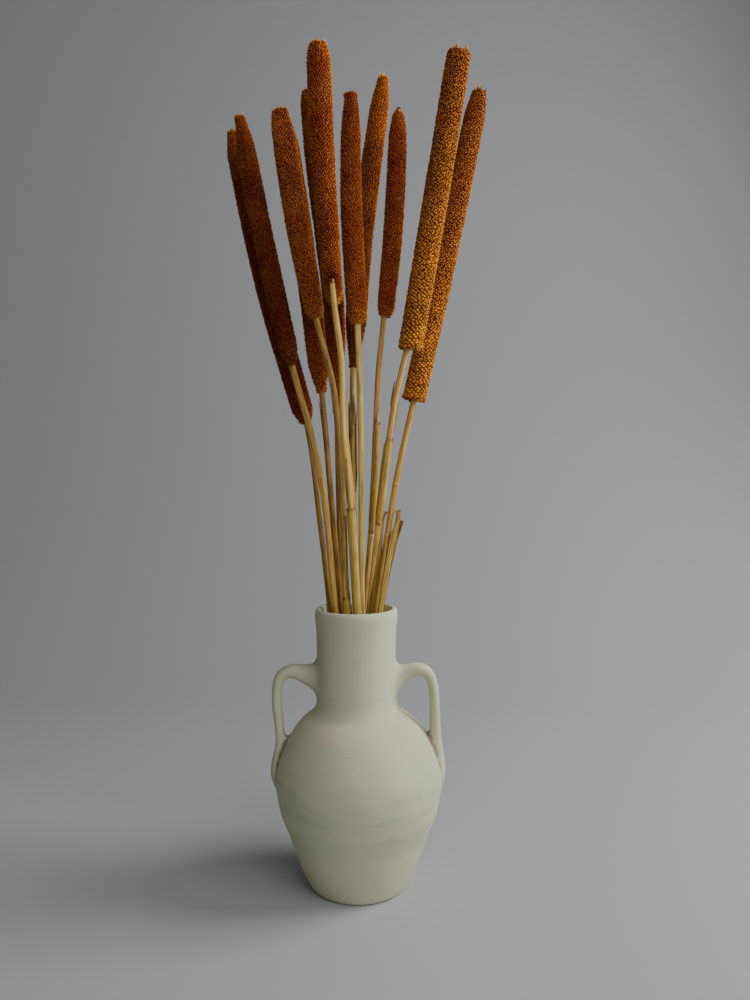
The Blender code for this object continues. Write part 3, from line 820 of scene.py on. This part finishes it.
def build_sheath(number, stem, sheath, material):
    """A dry leaf still round its stalk, split down one side and torn along its top."""
    rng = np.random.default_rng(100 + int(number))
    route = stalk_route(stem)
    low = route.length_at_height(sheath.bottom)
    high = route.length_at_height(sheath.top)
    half = sheath.wrap / 2.0
    turn = np.linspace(-half, half, SHEATH_COLUMNS)
    torn_at, torn_to = zip(*sheath.torn)
    tops = np.interp(turn, torn_at, torn_to)
    fray = rng.uniform(-1.0, 0.0, SHEATH_COLUMNS) * 1.6 / (high - low)
    tops = np.clip(tops + fray, 0.05, 1.0)
    share = np.linspace(0.0, 1.0, SHEATH_ROWS)[:, None] * tops
    lengths = low + (high - low) * share
    angles = np.radians(sheath.opens_towards + 180.0 + turn)
    seed = int(number) + 70
    wave = ripple(angles, lengths, seed, 45.0)
    foot = smooth_step(lengths - low, 0.0, SHEATH_FOOT)
    radii = tapered_radius(stem, route, lengths) - SHEATH_DEPTH
    radii = radii + (SHEATH_RISE + 0.10 * wave) * foot + stem.stalk_radius * sheath.flare * share**2
    radii = radii + 0.5 * sheath.flare * np.abs(wave) * share**3
    curl = smooth_step(np.abs(turn), half - 22.0, half)
    radii = radii + curl * 0.25 * (1.0 + wave)
    centre, right, back, _ = route.frame(lengths)
    points = centre + around(angles, right, back) * radii[..., None]
    edge = smooth_step(share, tops - 3.5 / (high - low), tops + 0.001)
    rim = smooth_step(share, tops - 1.3 / (high - low), tops - 0.4 / (high - low))
    brown = np.clip(sheath.brown + 0.18 * wave + 0.5 * edge * (0.3 + sheath.flare) + 0.7 * rim, 0.0, 1.0)
    looks = np.stack([brown, brown * 0.0, brown * 0.0], axis=-1)
    flows = np.stack([np.cos(angles) * radii + seed * 30.0, np.sin(angles) * radii, lengths], axis=-1)
    shape = Shape()
    shape.add(points, [lattice_faces(SHEATH_ROWS, SHEATH_COLUMNS, False)], looks, flows)
    leaf = shape.build("leaf_" + number, material)
    thicken(leaf, SHEATH_THICKNESS)
    place(leaf, "dry_leaf", "sheath_" + number)


def thicken(leaf, thickness):
    """A sheet's thickness, added on its outside."""
    shell = leaf.modifiers.new("Thickness", "SOLIDIFY")
    shell.thickness = thickness * MM
    shell.offset = 1.0


def build_strips(material):
    """Loose strips of dry leaf along the stalks, each a narrow curled blade."""
    for index, (number, bottom, top, turn_low, turn_top, width, off, brown, face) in enumerate(STRIPS):
        stem = STEMS[number]
        route = stalk_route(stem)
        rows = np.linspace(0.0, 1.0, STRIP_ROWS)
        low = route.length_at_height(bottom)
        lengths = low + rows * (route.length_at_height(top) - low)
        radius = tapered_radius(stem, route, lengths)
        if number in SHEATHS:
            sheath = SHEATHS[number]
            inside = (lengths > route.length_at_height(sheath.bottom) - 2.0) & (
                lengths < route.length_at_height(sheath.top) + 2.0)
            radius = radius + np.where(inside, 0.9 + stem.stalk_radius * (sheath.flare * rows**2), 0.0)
        reach = radius + 0.12 + off * rows**2.2
        turn = np.radians(turn_low + (turn_top - turn_low) * rows)
        seed = 200 + index
        narrows = BLUNT_NARROWS if number == BLUNT_STEM else STRIP_NARROWS
        breadth = width * (1.0 - narrows * rows**3) * (0.35 + 0.65 * smooth_step(rows, 0.0, 0.15))
        across = np.linspace(-0.5, 0.5, STRIP_COLUMNS)
        centre, right, back, _ = route.frame(lengths)
        outward = around(turn, right, back)
        facing = turn if face is None else np.full(STRIP_ROWS, math.radians(face))
        ahead = around(facing, right, back)
        sideways = around(facing, back, -right)
        curl = (2.0 * across) ** 2 * 0.10 * width - 0.08 * ripple(across * 4.0, lengths[:, None], seed, 30.0)
        points = (centre + outward * reach[:, None])[:, None] + (
            sideways[:, None] * (across * breadth[:, None])[:, :, None] - ahead[:, None] * curl[:, :, None])
        tip = smooth_step(rows, 0.80, 1.0)[:, None]
        browned = np.clip(brown + 0.4 * tip + 0.1 * across, 0.0, 1.0)
        looks = np.stack([browned, browned * 0.0, browned * 0.0], axis=-1)
        flows = np.stack([np.broadcast_to(across * width + seed * 9.0, curl.shape), curl * 0.0,
                          np.broadcast_to(lengths[:, None], curl.shape)], axis=-1)
        shape = Shape()
        shape.add(points, [lattice_faces(STRIP_ROWS, STRIP_COLUMNS, False)], looks, flows)
        strip = shape.build("leaf_strip_%02d" % (index + 1), material)
        thicken(strip, STRIP_THICKNESS)
        place(strip, "dry_leaf")


def turned_points():
    """The pot without handles: rows of points from the middle of its floor, over its lip, to its foot."""
    outline = Route([(radius, 0.0, height) for radius, height in INNER_OUTLINE + OUTER_OUTLINE])
    rows = outline.at(np.linspace(0.0, outline.knots[-1], int(outline.knots[-1] / VASE_STEP)))
    rows = rows[1:]
    angles = full_turn(VASE_SIDES)
    radius = np.maximum(rows[:, 0], 0.3)[:, None]
    height = rows[:, 2][:, None]
    uneven = ripple(angles, height, 5, 90.0) - 1.0
    hand = ripple(angles * 0.0, height, 9, 16.0) - 1.0
    fade = smooth_step(height, 4.0, 20.0) * smooth_step(height, 0.0, 4.0)
    radius = radius + (0.28 * uneven + 0.10 * hand) * fade * smooth_step(radius, 10.0, 24.0)
    lean = NECK_LEAN * smooth_step(height, LEAN_START, LEAN_END)
    lip = 0.35 * smooth_step(height, 200.0, 226.0)
    tilt = lip * np.sin(angles + 0.6) - lip
    return np.stack([np.cos(angles) * radius + lean, np.sin(angles) * radius, height + tilt], axis=-1)


def add_handle(shape, outline):
    """A pulled strap handle, flattened front to back and a little uneven."""
    table = np.array(outline)
    route = Route(np.stack([table[:, 0], table[:, 0] * 0.0, table[:, 1]], axis=1))
    lengths = np.linspace(0.0, route.knots[-1], HANDLE_RINGS)
    thick = np.interp(lengths, route.knots, table[:, 2])
    wide = np.interp(lengths, route.knots, table[:, 3])
    ahead = unit(route.at(lengths + 0.5) - route.at(lengths - 0.5))
    front = np.array([0.0, -1.0, 0.0])
    outward = np.cross(ahead, front)
    turns = full_turn(HANDLE_SIDES)
    seed = 31 if table[0, 0] < 0 else 32
    uneven = 0.975 + 0.02 * ripple(lengths * 0.0, lengths, seed, 60.0)
    square = 1.0 - 0.05 * np.cos(4.0 * turns)
    points = (route.at(lengths)[:, None]
              + (np.cos(turns) * square)[None, :, None] * outward[:, None] * (thick * uneven)[:, None, None]
              + (np.sin(turns) * square)[None, :, None] * front * (wide * uneven)[:, None, None])
    shape.add(points, [lattice_faces(HANDLE_RINGS, HANDLE_SIDES, True)], PLAIN)
    shape.cap(points[0], route.at([lengths[0]]), False, PLAIN)
    shape.cap(points[-1], route.at([lengths[-1]]), True, PLAIN)


def smoothed(points, edges, weights, rounds):
    """Points moved towards the mean of their neighbours, by their weights, several times over."""
    count = len(points)
    degree = np.bincount(edges.ravel(), minlength=count)[:, None]
    for _ in range(rounds):
        total = np.zeros_like(points)
        for axis in range(3):
            total[:, axis] = (np.bincount(edges[:, 0], points[edges[:, 1], axis], count)
                              + np.bincount(edges[:, 1], points[edges[:, 0], axis], count))
        points = points + weights[:, None] * 0.5 * (total / np.maximum(degree, 1) - points)
    return points


def near(points, places):
    """How near points are to a place on either side of the vase, from 0 to 1."""
    sides, height, counts, fades = places
    result = np.zeros(len(points))
    for side in sides:
        across = (points[:, 0] - side) * counts[0]
        upward = (points[:, 2] - height) * counts[1]
        away = np.sqrt(across**2 + points[:, 1] ** 2 + upward**2)
        result = np.maximum(result, 1.0 - smooth_step(away, *fades))
    return result


def build_vase(material):
    """The pot and its handles as one piece of clay, with the handles' roots worked into the wall."""
    rows = turned_points()
    shape = Shape()
    shape.add(rows, [lattice_faces(len(rows), VASE_SIDES, True)[:, ::-1]], PLAIN)
    shape.cap(rows[0], (0.0, 0.0, INNER_OUTLINE[0][1]), False, PLAIN)
    shape.cap(rows[-1], (0.0, 0.0, 0.0), True, PLAIN)
    for outline in (LEFT_HANDLE, RIGHT_HANDLE):
        add_handle(shape, outline)
    rough = shape.build("vase_rough", material)
    weld = rough.modifiers.new("Weld", "WELD")
    weld.merge_threshold = VASE_WELD * MM
    remesh = rough.modifiers.new("Remesh", "REMESH")
    remesh.mode = "VOXEL"
    remesh.voxel_size = VASE_VOXEL * MM
    bpy.context.view_layer.update()
    graph = bpy.context.evaluated_depsgraph_get()
    mesh = bpy.data.meshes.new_from_object(rough.evaluated_get(graph))
    bpy.data.objects.remove(rough, do_unlink=True)
    points = np.empty(len(mesh.vertices) * 3)
    mesh.vertices.foreach_get("co", points)
    points = points.reshape(-1, 3) / MM
    edges = np.empty(len(mesh.edges) * 2, int)
    mesh.edges.foreach_get("vertices", edges)
    edges = edges.reshape(-1, 2)
    foot = smooth_step(points[:, 2], 3.0, 7.0)
    points = smoothed(points, edges, 0.9 * foot, SMOOTH_ROUNDS)
    points = smoothed(points, edges, near(points, ROOTS), ROOT_ROUNDS)
    mesh.vertices.foreach_set("co", (points * MM).ravel())
    mesh.name = "vase_clay"
    normals = np.empty(len(mesh.vertices) * 3)
    mesh.vertices.foreach_get("normal", normals)
    # The hollows where a handle's foot meets the belly, under the handles, get a painted shadow along the
    # seam.
    flattened = smoothed(points, edges, np.ones(len(points)), SEAM_ROUNDS)
    hollow = np.sum((flattened - points) * normals.reshape(-1, 3), axis=1)
    under_handles = smooth_step(points[:, 2], 155.0, 145.0) * smooth_step(np.abs(points[:, 0]), 45.0, 50.0)
    seam_shadow = smooth_step(hollow, 0.04, 0.14) * under_handles
    # Painted shade in the creases round the handles' roots and pressed feet.
    crease_shade = np.maximum(near(points, ROOTS), near(points, TABS))
    for title, values in (("crease_shade", crease_shade), ("seam_shadow", seam_shadow)):
        layer = mesh.attributes.new(title, "FLOAT", "POINT")
        layer.data.foreach_set("value", values.astype(np.float32))
    mesh.materials.clear()
    mesh.materials.append(material)
    mesh.shade_smooth()
    place(linked("vase_clay", mesh), "clay", "vase")


class Nodes:
    """Short ways to build one material's nodes."""

    def __init__(self, name, **sockets):
        self.material = bpy.data.materials.new(name)
        self.material.use_nodes = True
        self.tree = self.material.node_tree
        self.shader = self.tree.nodes["Principled BSDF"]
        for socket, value in sockets.items():
            self.shader.inputs[socket.replace("_", " ")].default_value = value

    def add(self, kind, inputs=None, **settings):
        """A node with its settings; inputs are values or other nodes' outputs."""
        node = self.tree.nodes.new("ShaderNode" + kind)
        for setting, value in settings.items():
            setattr(node, setting, value)
        for socket, value in (inputs or {}).items():
            if isinstance(value, bpy.types.NodeSocket):
                self.tree.links.new(value, node.inputs[socket])
            else:
                node.inputs[socket].default_value = value
        return node

    def attribute(self, name):
        return self.add("Attribute", attribute_name=name).outputs["Vector"]

    def parts(self, vector):
        return self.add("SeparateXYZ", {"Vector": vector}).outputs

    def noise(self, vector, scale, detail=3.0, stretch=(1.0, 1.0, 1.0), roughness=0.5):
        mapped = self.add("Mapping", {"Vector": vector, "Scale": stretch}).outputs["Vector"]
        return self.add("TexNoise", {"Vector": mapped, "Scale": scale, "Detail": detail,
                                     "Roughness": roughness}).outputs["Fac"]

    def ramp(self, factor, stops):
        node = self.add("ValToRGB", {"Fac": factor})
        elements = node.color_ramp.elements
        while len(elements) < len(stops):
            elements.new(0.5)
        for element, (position, colour) in zip(elements, stops):
            element.position = position
            element.color = (*colour, 1.0) if len(colour) == 3 else colour
        return node.outputs["Color"]

    def mix(self, factor, first, second, blend="MIX"):
        node = self.add("Mix", data_type="RGBA", blend_type=blend)
        for socket, value in ((0, factor), (6, first), (7, second)):
            if isinstance(value, bpy.types.NodeSocket):
                self.tree.links.new(value, node.inputs[socket])
            else:
                node.inputs[socket].default_value = value if socket == 0 else (*value, 1.0)
        return node.outputs[2]

    def math(self, operation, first, second=0.0, clamp=False):
        return self.add("Math", {0: first, 1: second}, operation=operation, use_clamp=clamp).outputs[0]

    def plus(self, first, second, clamp=False):
        return self.math("ADD", first, second, clamp)

    def times(self, first, second, clamp=False):
        return self.math("MULTIPLY", first, second, clamp)

    def grey(self, value):
        return self.add("CombineXYZ", {"X": value, "Y": value, "Z": value}).outputs["Vector"]

    def window(self, value, low, high, to_low=0.0, to_high=1.0):
        return self.add("MapRange", {"Value": value, "From Min": low, "From Max": high,
                                     "To Min": to_low, "To Max": to_high}).outputs["Result"]

    def finish(self, colour, roughness=None, height=None, depth=0.0001, strength=1.0):
        self.tree.links.new(colour, self.shader.inputs["Base Color"])
        if roughness is not None:
            self.tree.links.new(roughness, self.shader.inputs["Roughness"])
        if height is not None:
            bump = self.add("Bump", {"Height": height, "Distance": depth, "Strength": strength})
            self.tree.links.new(bump.outputs["Normal"], self.shader.inputs["Normal"])
        return self.material


def seed_material():
    """Grains: dark red-brown in the gaps, rust or gold at their sides and light at their tips; the dark gaps
    and lower sides are painted shade, the light tips partly a painted highlight.
    """
    nodes = Nodes("seed_grains", Specular_IOR_Level=0.06)
    tip, gold, light = nodes.parts(nodes.attribute("look"))
    flow = nodes.attribute("flow")
    patches = nodes.noise(flow, 0.05, 2.0)
    specks = nodes.noise(flow, 1.3, 2.0)
    reach = nodes.plus(tip, nodes.window(specks, 0.3, 0.7, -0.12, 0.12), clamp=True)
    # Both ramps: the low end is painted shade between the grains, the high end partly a painted highlight on
    # the tips.
    rust = nodes.ramp(reach, [(0.0, (0.135, 0.011, 0.002)), (0.26, (0.25, 0.033, 0.004)),
                              (0.50, (0.46, 0.118, 0.013)), (0.75, (0.66, 0.270, 0.045)),
                              (1.0, (0.92, 0.66, 0.36))])
    golden = nodes.ramp(reach, [(0.0, (0.20, 0.034, 0.004)), (0.26, (0.37, 0.095, 0.007)),
                                (0.50, (0.60, 0.235, 0.018)), (0.75, (0.76, 0.415, 0.055)),
                                (1.0, (0.95, 0.72, 0.38))])
    shift = nodes.plus(gold, nodes.window(patches, 0.3, 0.7, -0.22, 0.22), clamp=True)
    colour = nodes.mix(shift, rust, golden)
    shade = nodes.times(light, nodes.window(patches, 0.3, 0.7, 0.88, 1.10))
    colour = nodes.mix(1.0, colour, nodes.grey(shade), "MULTIPLY")
    roughness = nodes.window(specks, 0.3, 0.7, 0.50, 0.72)
    return nodes.finish(colour, roughness, specks, 0.00012, 0.6)


def straw_material():
    """Smooth waxy straw with long fine streaks, brown stains and paler joints, darkened with painted shade
    inside the vase.
    """
    nodes = Nodes("straw", Specular_IOR_Level=0.18)
    brown, pale, _ = nodes.parts(nodes.attribute("look"))
    flow = nodes.attribute("flow")
    streaks = nodes.noise(flow, 1.5, 4.0, (1.0, 1.0, 0.012), 0.65)
    fibres = nodes.noise(flow, 5.0, 3.0, (1.0, 1.0, 0.006), 0.7)
    stains = nodes.noise(flow, 0.55, 3.0, (1.0, 1.0, 0.09), 0.6)
    golden = nodes.ramp(streaks, [(0.30, (0.38, 0.170, 0.026)), (0.48, (0.64, 0.355, 0.070)),
                                  (0.70, (0.80, 0.530, 0.140))])
    whitish = nodes.ramp(streaks, [(0.30, (0.56, 0.350, 0.085)), (0.50, (0.76, 0.545, 0.180)),
                                   (0.72, (0.88, 0.700, 0.290))])
    dull = nodes.ramp(streaks, [(0.30, (0.085, 0.040, 0.012)), (0.50, (0.20, 0.105, 0.034)),
                                (0.72, (0.36, 0.215, 0.080))])
    colour = nodes.mix(pale, golden, whitish)
    browned = nodes.plus(brown, nodes.window(stains, 0.42, 0.72, -0.30, 0.55), clamp=True)
    colour = nodes.mix(browned, colour, dull)
    fine = nodes.window(fibres, 0.30, 0.70, 0.86, 1.10)
    colour = nodes.mix(1.0, colour, nodes.grey(fine), "MULTIPLY")
    roughness = nodes.window(streaks, 0.3, 0.7, 0.34, 0.52)
    return nodes.finish(colour, roughness, fibres, 0.00012, 0.7)


def leaf_material():
    """Dry leaf: papery, veined along its length, browner at torn edges."""
    nodes = Nodes("dry_leaf", Specular_IOR_Level=0.12)
    brown = nodes.parts(nodes.attribute("look"))[0]
    flow = nodes.attribute("flow")
    veins = nodes.noise(flow, 2.6, 3.0, (1.0, 1.0, 0.008), 0.6)
    blotches = nodes.noise(flow, 0.6, 3.0, (1.0, 1.0, 0.12), 0.6)
    pale = nodes.ramp(veins, [(0.30, (0.34, 0.190, 0.035)), (0.50, (0.58, 0.380, 0.080)),
                              (0.70, (0.72, 0.530, 0.140))])
    dark = nodes.ramp(veins, [(0.30, (0.060, 0.025, 0.009)), (0.50, (0.17, 0.080, 0.026)),
                              (0.72, (0.36, 0.200, 0.070))])
    browned = nodes.plus(brown, nodes.window(blotches, 0.40, 0.70, -0.25, 0.40), clamp=True)
    colour = nodes.mix(browned, pale, dark)
    roughness = nodes.window(veins, 0.3, 0.7, 0.55, 0.75)
    return nodes.finish(colour, roughness, veins, 0.00020, 0.8)


def clay_material():
    """Matt bisque clay: cream, softly mottled, with turning lines, pits and smudges; painted shade in the
    creases at the handles' roots and feet, and a painted shadow along the seams under the handles.
    """
    nodes = Nodes("clay", Specular_IOR_Level=0.10)
    position = nodes.add("TexCoord").outputs["Object"]
    height = nodes.parts(position)[2]
    broad = nodes.noise(position, 14.0, 3.0)
    cloudy = nodes.noise(position, 45.0, 4.0, (1.0, 1.0, 1.8), 0.6)
    smears = nodes.noise(position, 26.0, 4.0, (1.0, 1.0, 5.0), 0.65)
    grain = nodes.noise(position, 1500.0, 2.0)
    lines = nodes.noise(position, 3.0, 3.0, (1.0, 1.0, 150.0), 0.7)
    colour = nodes.ramp(broad, [(0.30, (0.535, 0.545, 0.385)), (0.52, (0.582, 0.590, 0.420)),
                                (0.75, (0.615, 0.612, 0.440))])
    blush = nodes.times(nodes.window(height, 0.108, 0.132), nodes.window(height, 0.152, 0.136))
    blush = nodes.times(blush, nodes.window(cloudy, 0.38, 0.62, 0.0, 0.7), clamp=True)
    colour = nodes.mix(blush, colour, (0.620, 0.525, 0.410))
    smudge = nodes.times(nodes.window(height, 0.046, 0.066), nodes.window(height, 0.108, 0.090))
    smudge = nodes.times(smudge, nodes.window(smears, 0.46, 0.64, 0.0, 0.42), clamp=True)
    colour = nodes.mix(smudge, colour, (0.430, 0.455, 0.330))
    marks = nodes.window(smears, 0.58, 0.74, 0.0, 0.35)
    colour = nodes.mix(marks, colour, (0.470, 0.460, 0.375))
    pits = nodes.add("TexVoronoi", {"Vector": position, "Scale": 230.0}).outputs["Distance"]
    pits = nodes.window(pits, 0.05, 0.16)
    rare = nodes.window(nodes.noise(position, 60.0, 1.0), 0.56, 0.62)
    rare = nodes.times(rare, nodes.window(height, 0.214, 0.204))
    pitted = nodes.math("MAXIMUM", pits, nodes.math("SUBTRACT", 1.0, rare))
    colour = nodes.mix(nodes.window(pitted, 0.0, 1.0, 0.5, 0.0), colour, (0.300, 0.270, 0.200))
    # Painted shade in the creases at the handles' roots and feet.
    crease_shade = nodes.add("Attribute", attribute_name="crease_shade").outputs["Fac"]
    painted_crease_shade = nodes.times(crease_shade, nodes.window(cloudy, 0.42, 0.62, 0.0, 0.35))
    colour = nodes.mix(painted_crease_shade, colour, (0.440, 0.410, 0.320))
    # A painted shadow along the seams where the handles' feet meet the belly.
    seam_shadow = nodes.add("Attribute", attribute_name="seam_shadow").outputs["Fac"]
    colour = nodes.mix(nodes.times(seam_shadow, 0.9), colour, (0.200, 0.180, 0.120))
    relief = nodes.plus(nodes.times(lines, 0.9), nodes.times(grain, 0.18))
    relief = nodes.plus(relief, nodes.times(cloudy, 0.5))
    relief = nodes.plus(relief, nodes.times(pitted, 0.5))
    roughness = nodes.window(cloudy, 0.3, 0.7, 0.80, 0.95)
    return nodes.finish(colour, roughness, relief, 0.00028, 0.7)


def floor_material():
    """The plain floor and wall."""
    colour = (0.43, 0.435, 0.445, 1.0)
    return Nodes("pale_floor", Base_Color=colour, Roughness=0.85, Specular_IOR_Level=0.15).material


def build_stage():
    """The floor that rises into a pale backdrop, the light and the camera."""
    front, back = FLOOR_EDGES
    wall = back + FLOOR_CURVE
    curve = [(back + FLOOR_CURVE * math.sin(turn), FLOOR_CURVE - FLOOR_CURVE * math.cos(turn))
             for turn in np.linspace(0.0, math.pi / 2.0, 17)]
    profile = [(front, 0.0)] + curve + [(wall, WALL_TOP)]
    points = [(x, y, z) for y, z in profile for x in (-FLOOR_HALF_WIDTH, FLOOR_HALF_WIDTH)]
    faces = [(2 * k, 2 * k + 1, 2 * k + 3, 2 * k + 2) for k in range(len(profile) - 1)]
    mesh = bpy.data.meshes.new("floor")
    mesh.from_pydata(points, [], faces)
    mesh.materials.append(floor_material())
    mesh.shade_smooth()
    linked("floor", mesh)

    world = bpy.data.worlds.new("soft_room")
    world.use_nodes = True
    room = world.node_tree.nodes["Background"].inputs
    room["Color"].default_value = ROOM_COLOUR
    room["Strength"].default_value = ROOM_LIGHT
    bpy.context.scene.world = world

    for name, (spot, size, power, aimed_at) in LAMPS.items():
        light = bpy.data.lights.new(name, "AREA")
        light.shape = "SQUARE"
        light.size = size
        light.energy = power
        lamp = linked(name, light)
        lamp.location = spot
        aim = np.array([0.0, 0.0, aimed_at]) - np.array(spot)
        lamp.rotation_euler = (math.atan2(math.hypot(aim[0], aim[1]), -aim[2]), 0.0,
                               math.atan2(aim[1], aim[0]) - math.pi / 2.0)

    lens = bpy.data.cameras.new("camera")
    lens.sensor_width = 36.0
    lens.lens = CAMERA_LENS
    camera = linked("camera", lens)
    camera.location = CAMERA_PLACE
    camera.rotation_euler = (math.radians(CAMERA_TILT), 0.0, 0.0)
    bpy.context.scene.camera = camera


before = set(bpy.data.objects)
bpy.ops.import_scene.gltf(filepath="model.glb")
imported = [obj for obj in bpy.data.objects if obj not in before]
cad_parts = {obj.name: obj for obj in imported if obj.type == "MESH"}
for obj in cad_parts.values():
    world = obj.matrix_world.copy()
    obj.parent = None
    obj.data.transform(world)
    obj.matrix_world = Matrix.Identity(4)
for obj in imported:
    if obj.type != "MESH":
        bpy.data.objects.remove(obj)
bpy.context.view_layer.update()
build_stage()
build_vase(clay_material())
straw = straw_material()
seed = seed_material()
leaf = leaf_material()
for stem_number, stem_table in STEMS.items():
    build_stalk(stem_number, stem_table, straw)
    build_head(stem_number, stem_table, seed)
    if stem_number in SHEATHS:
        build_sheath(stem_number, stem_table, SHEATHS[stem_number], leaf)
build_strips(leaf)
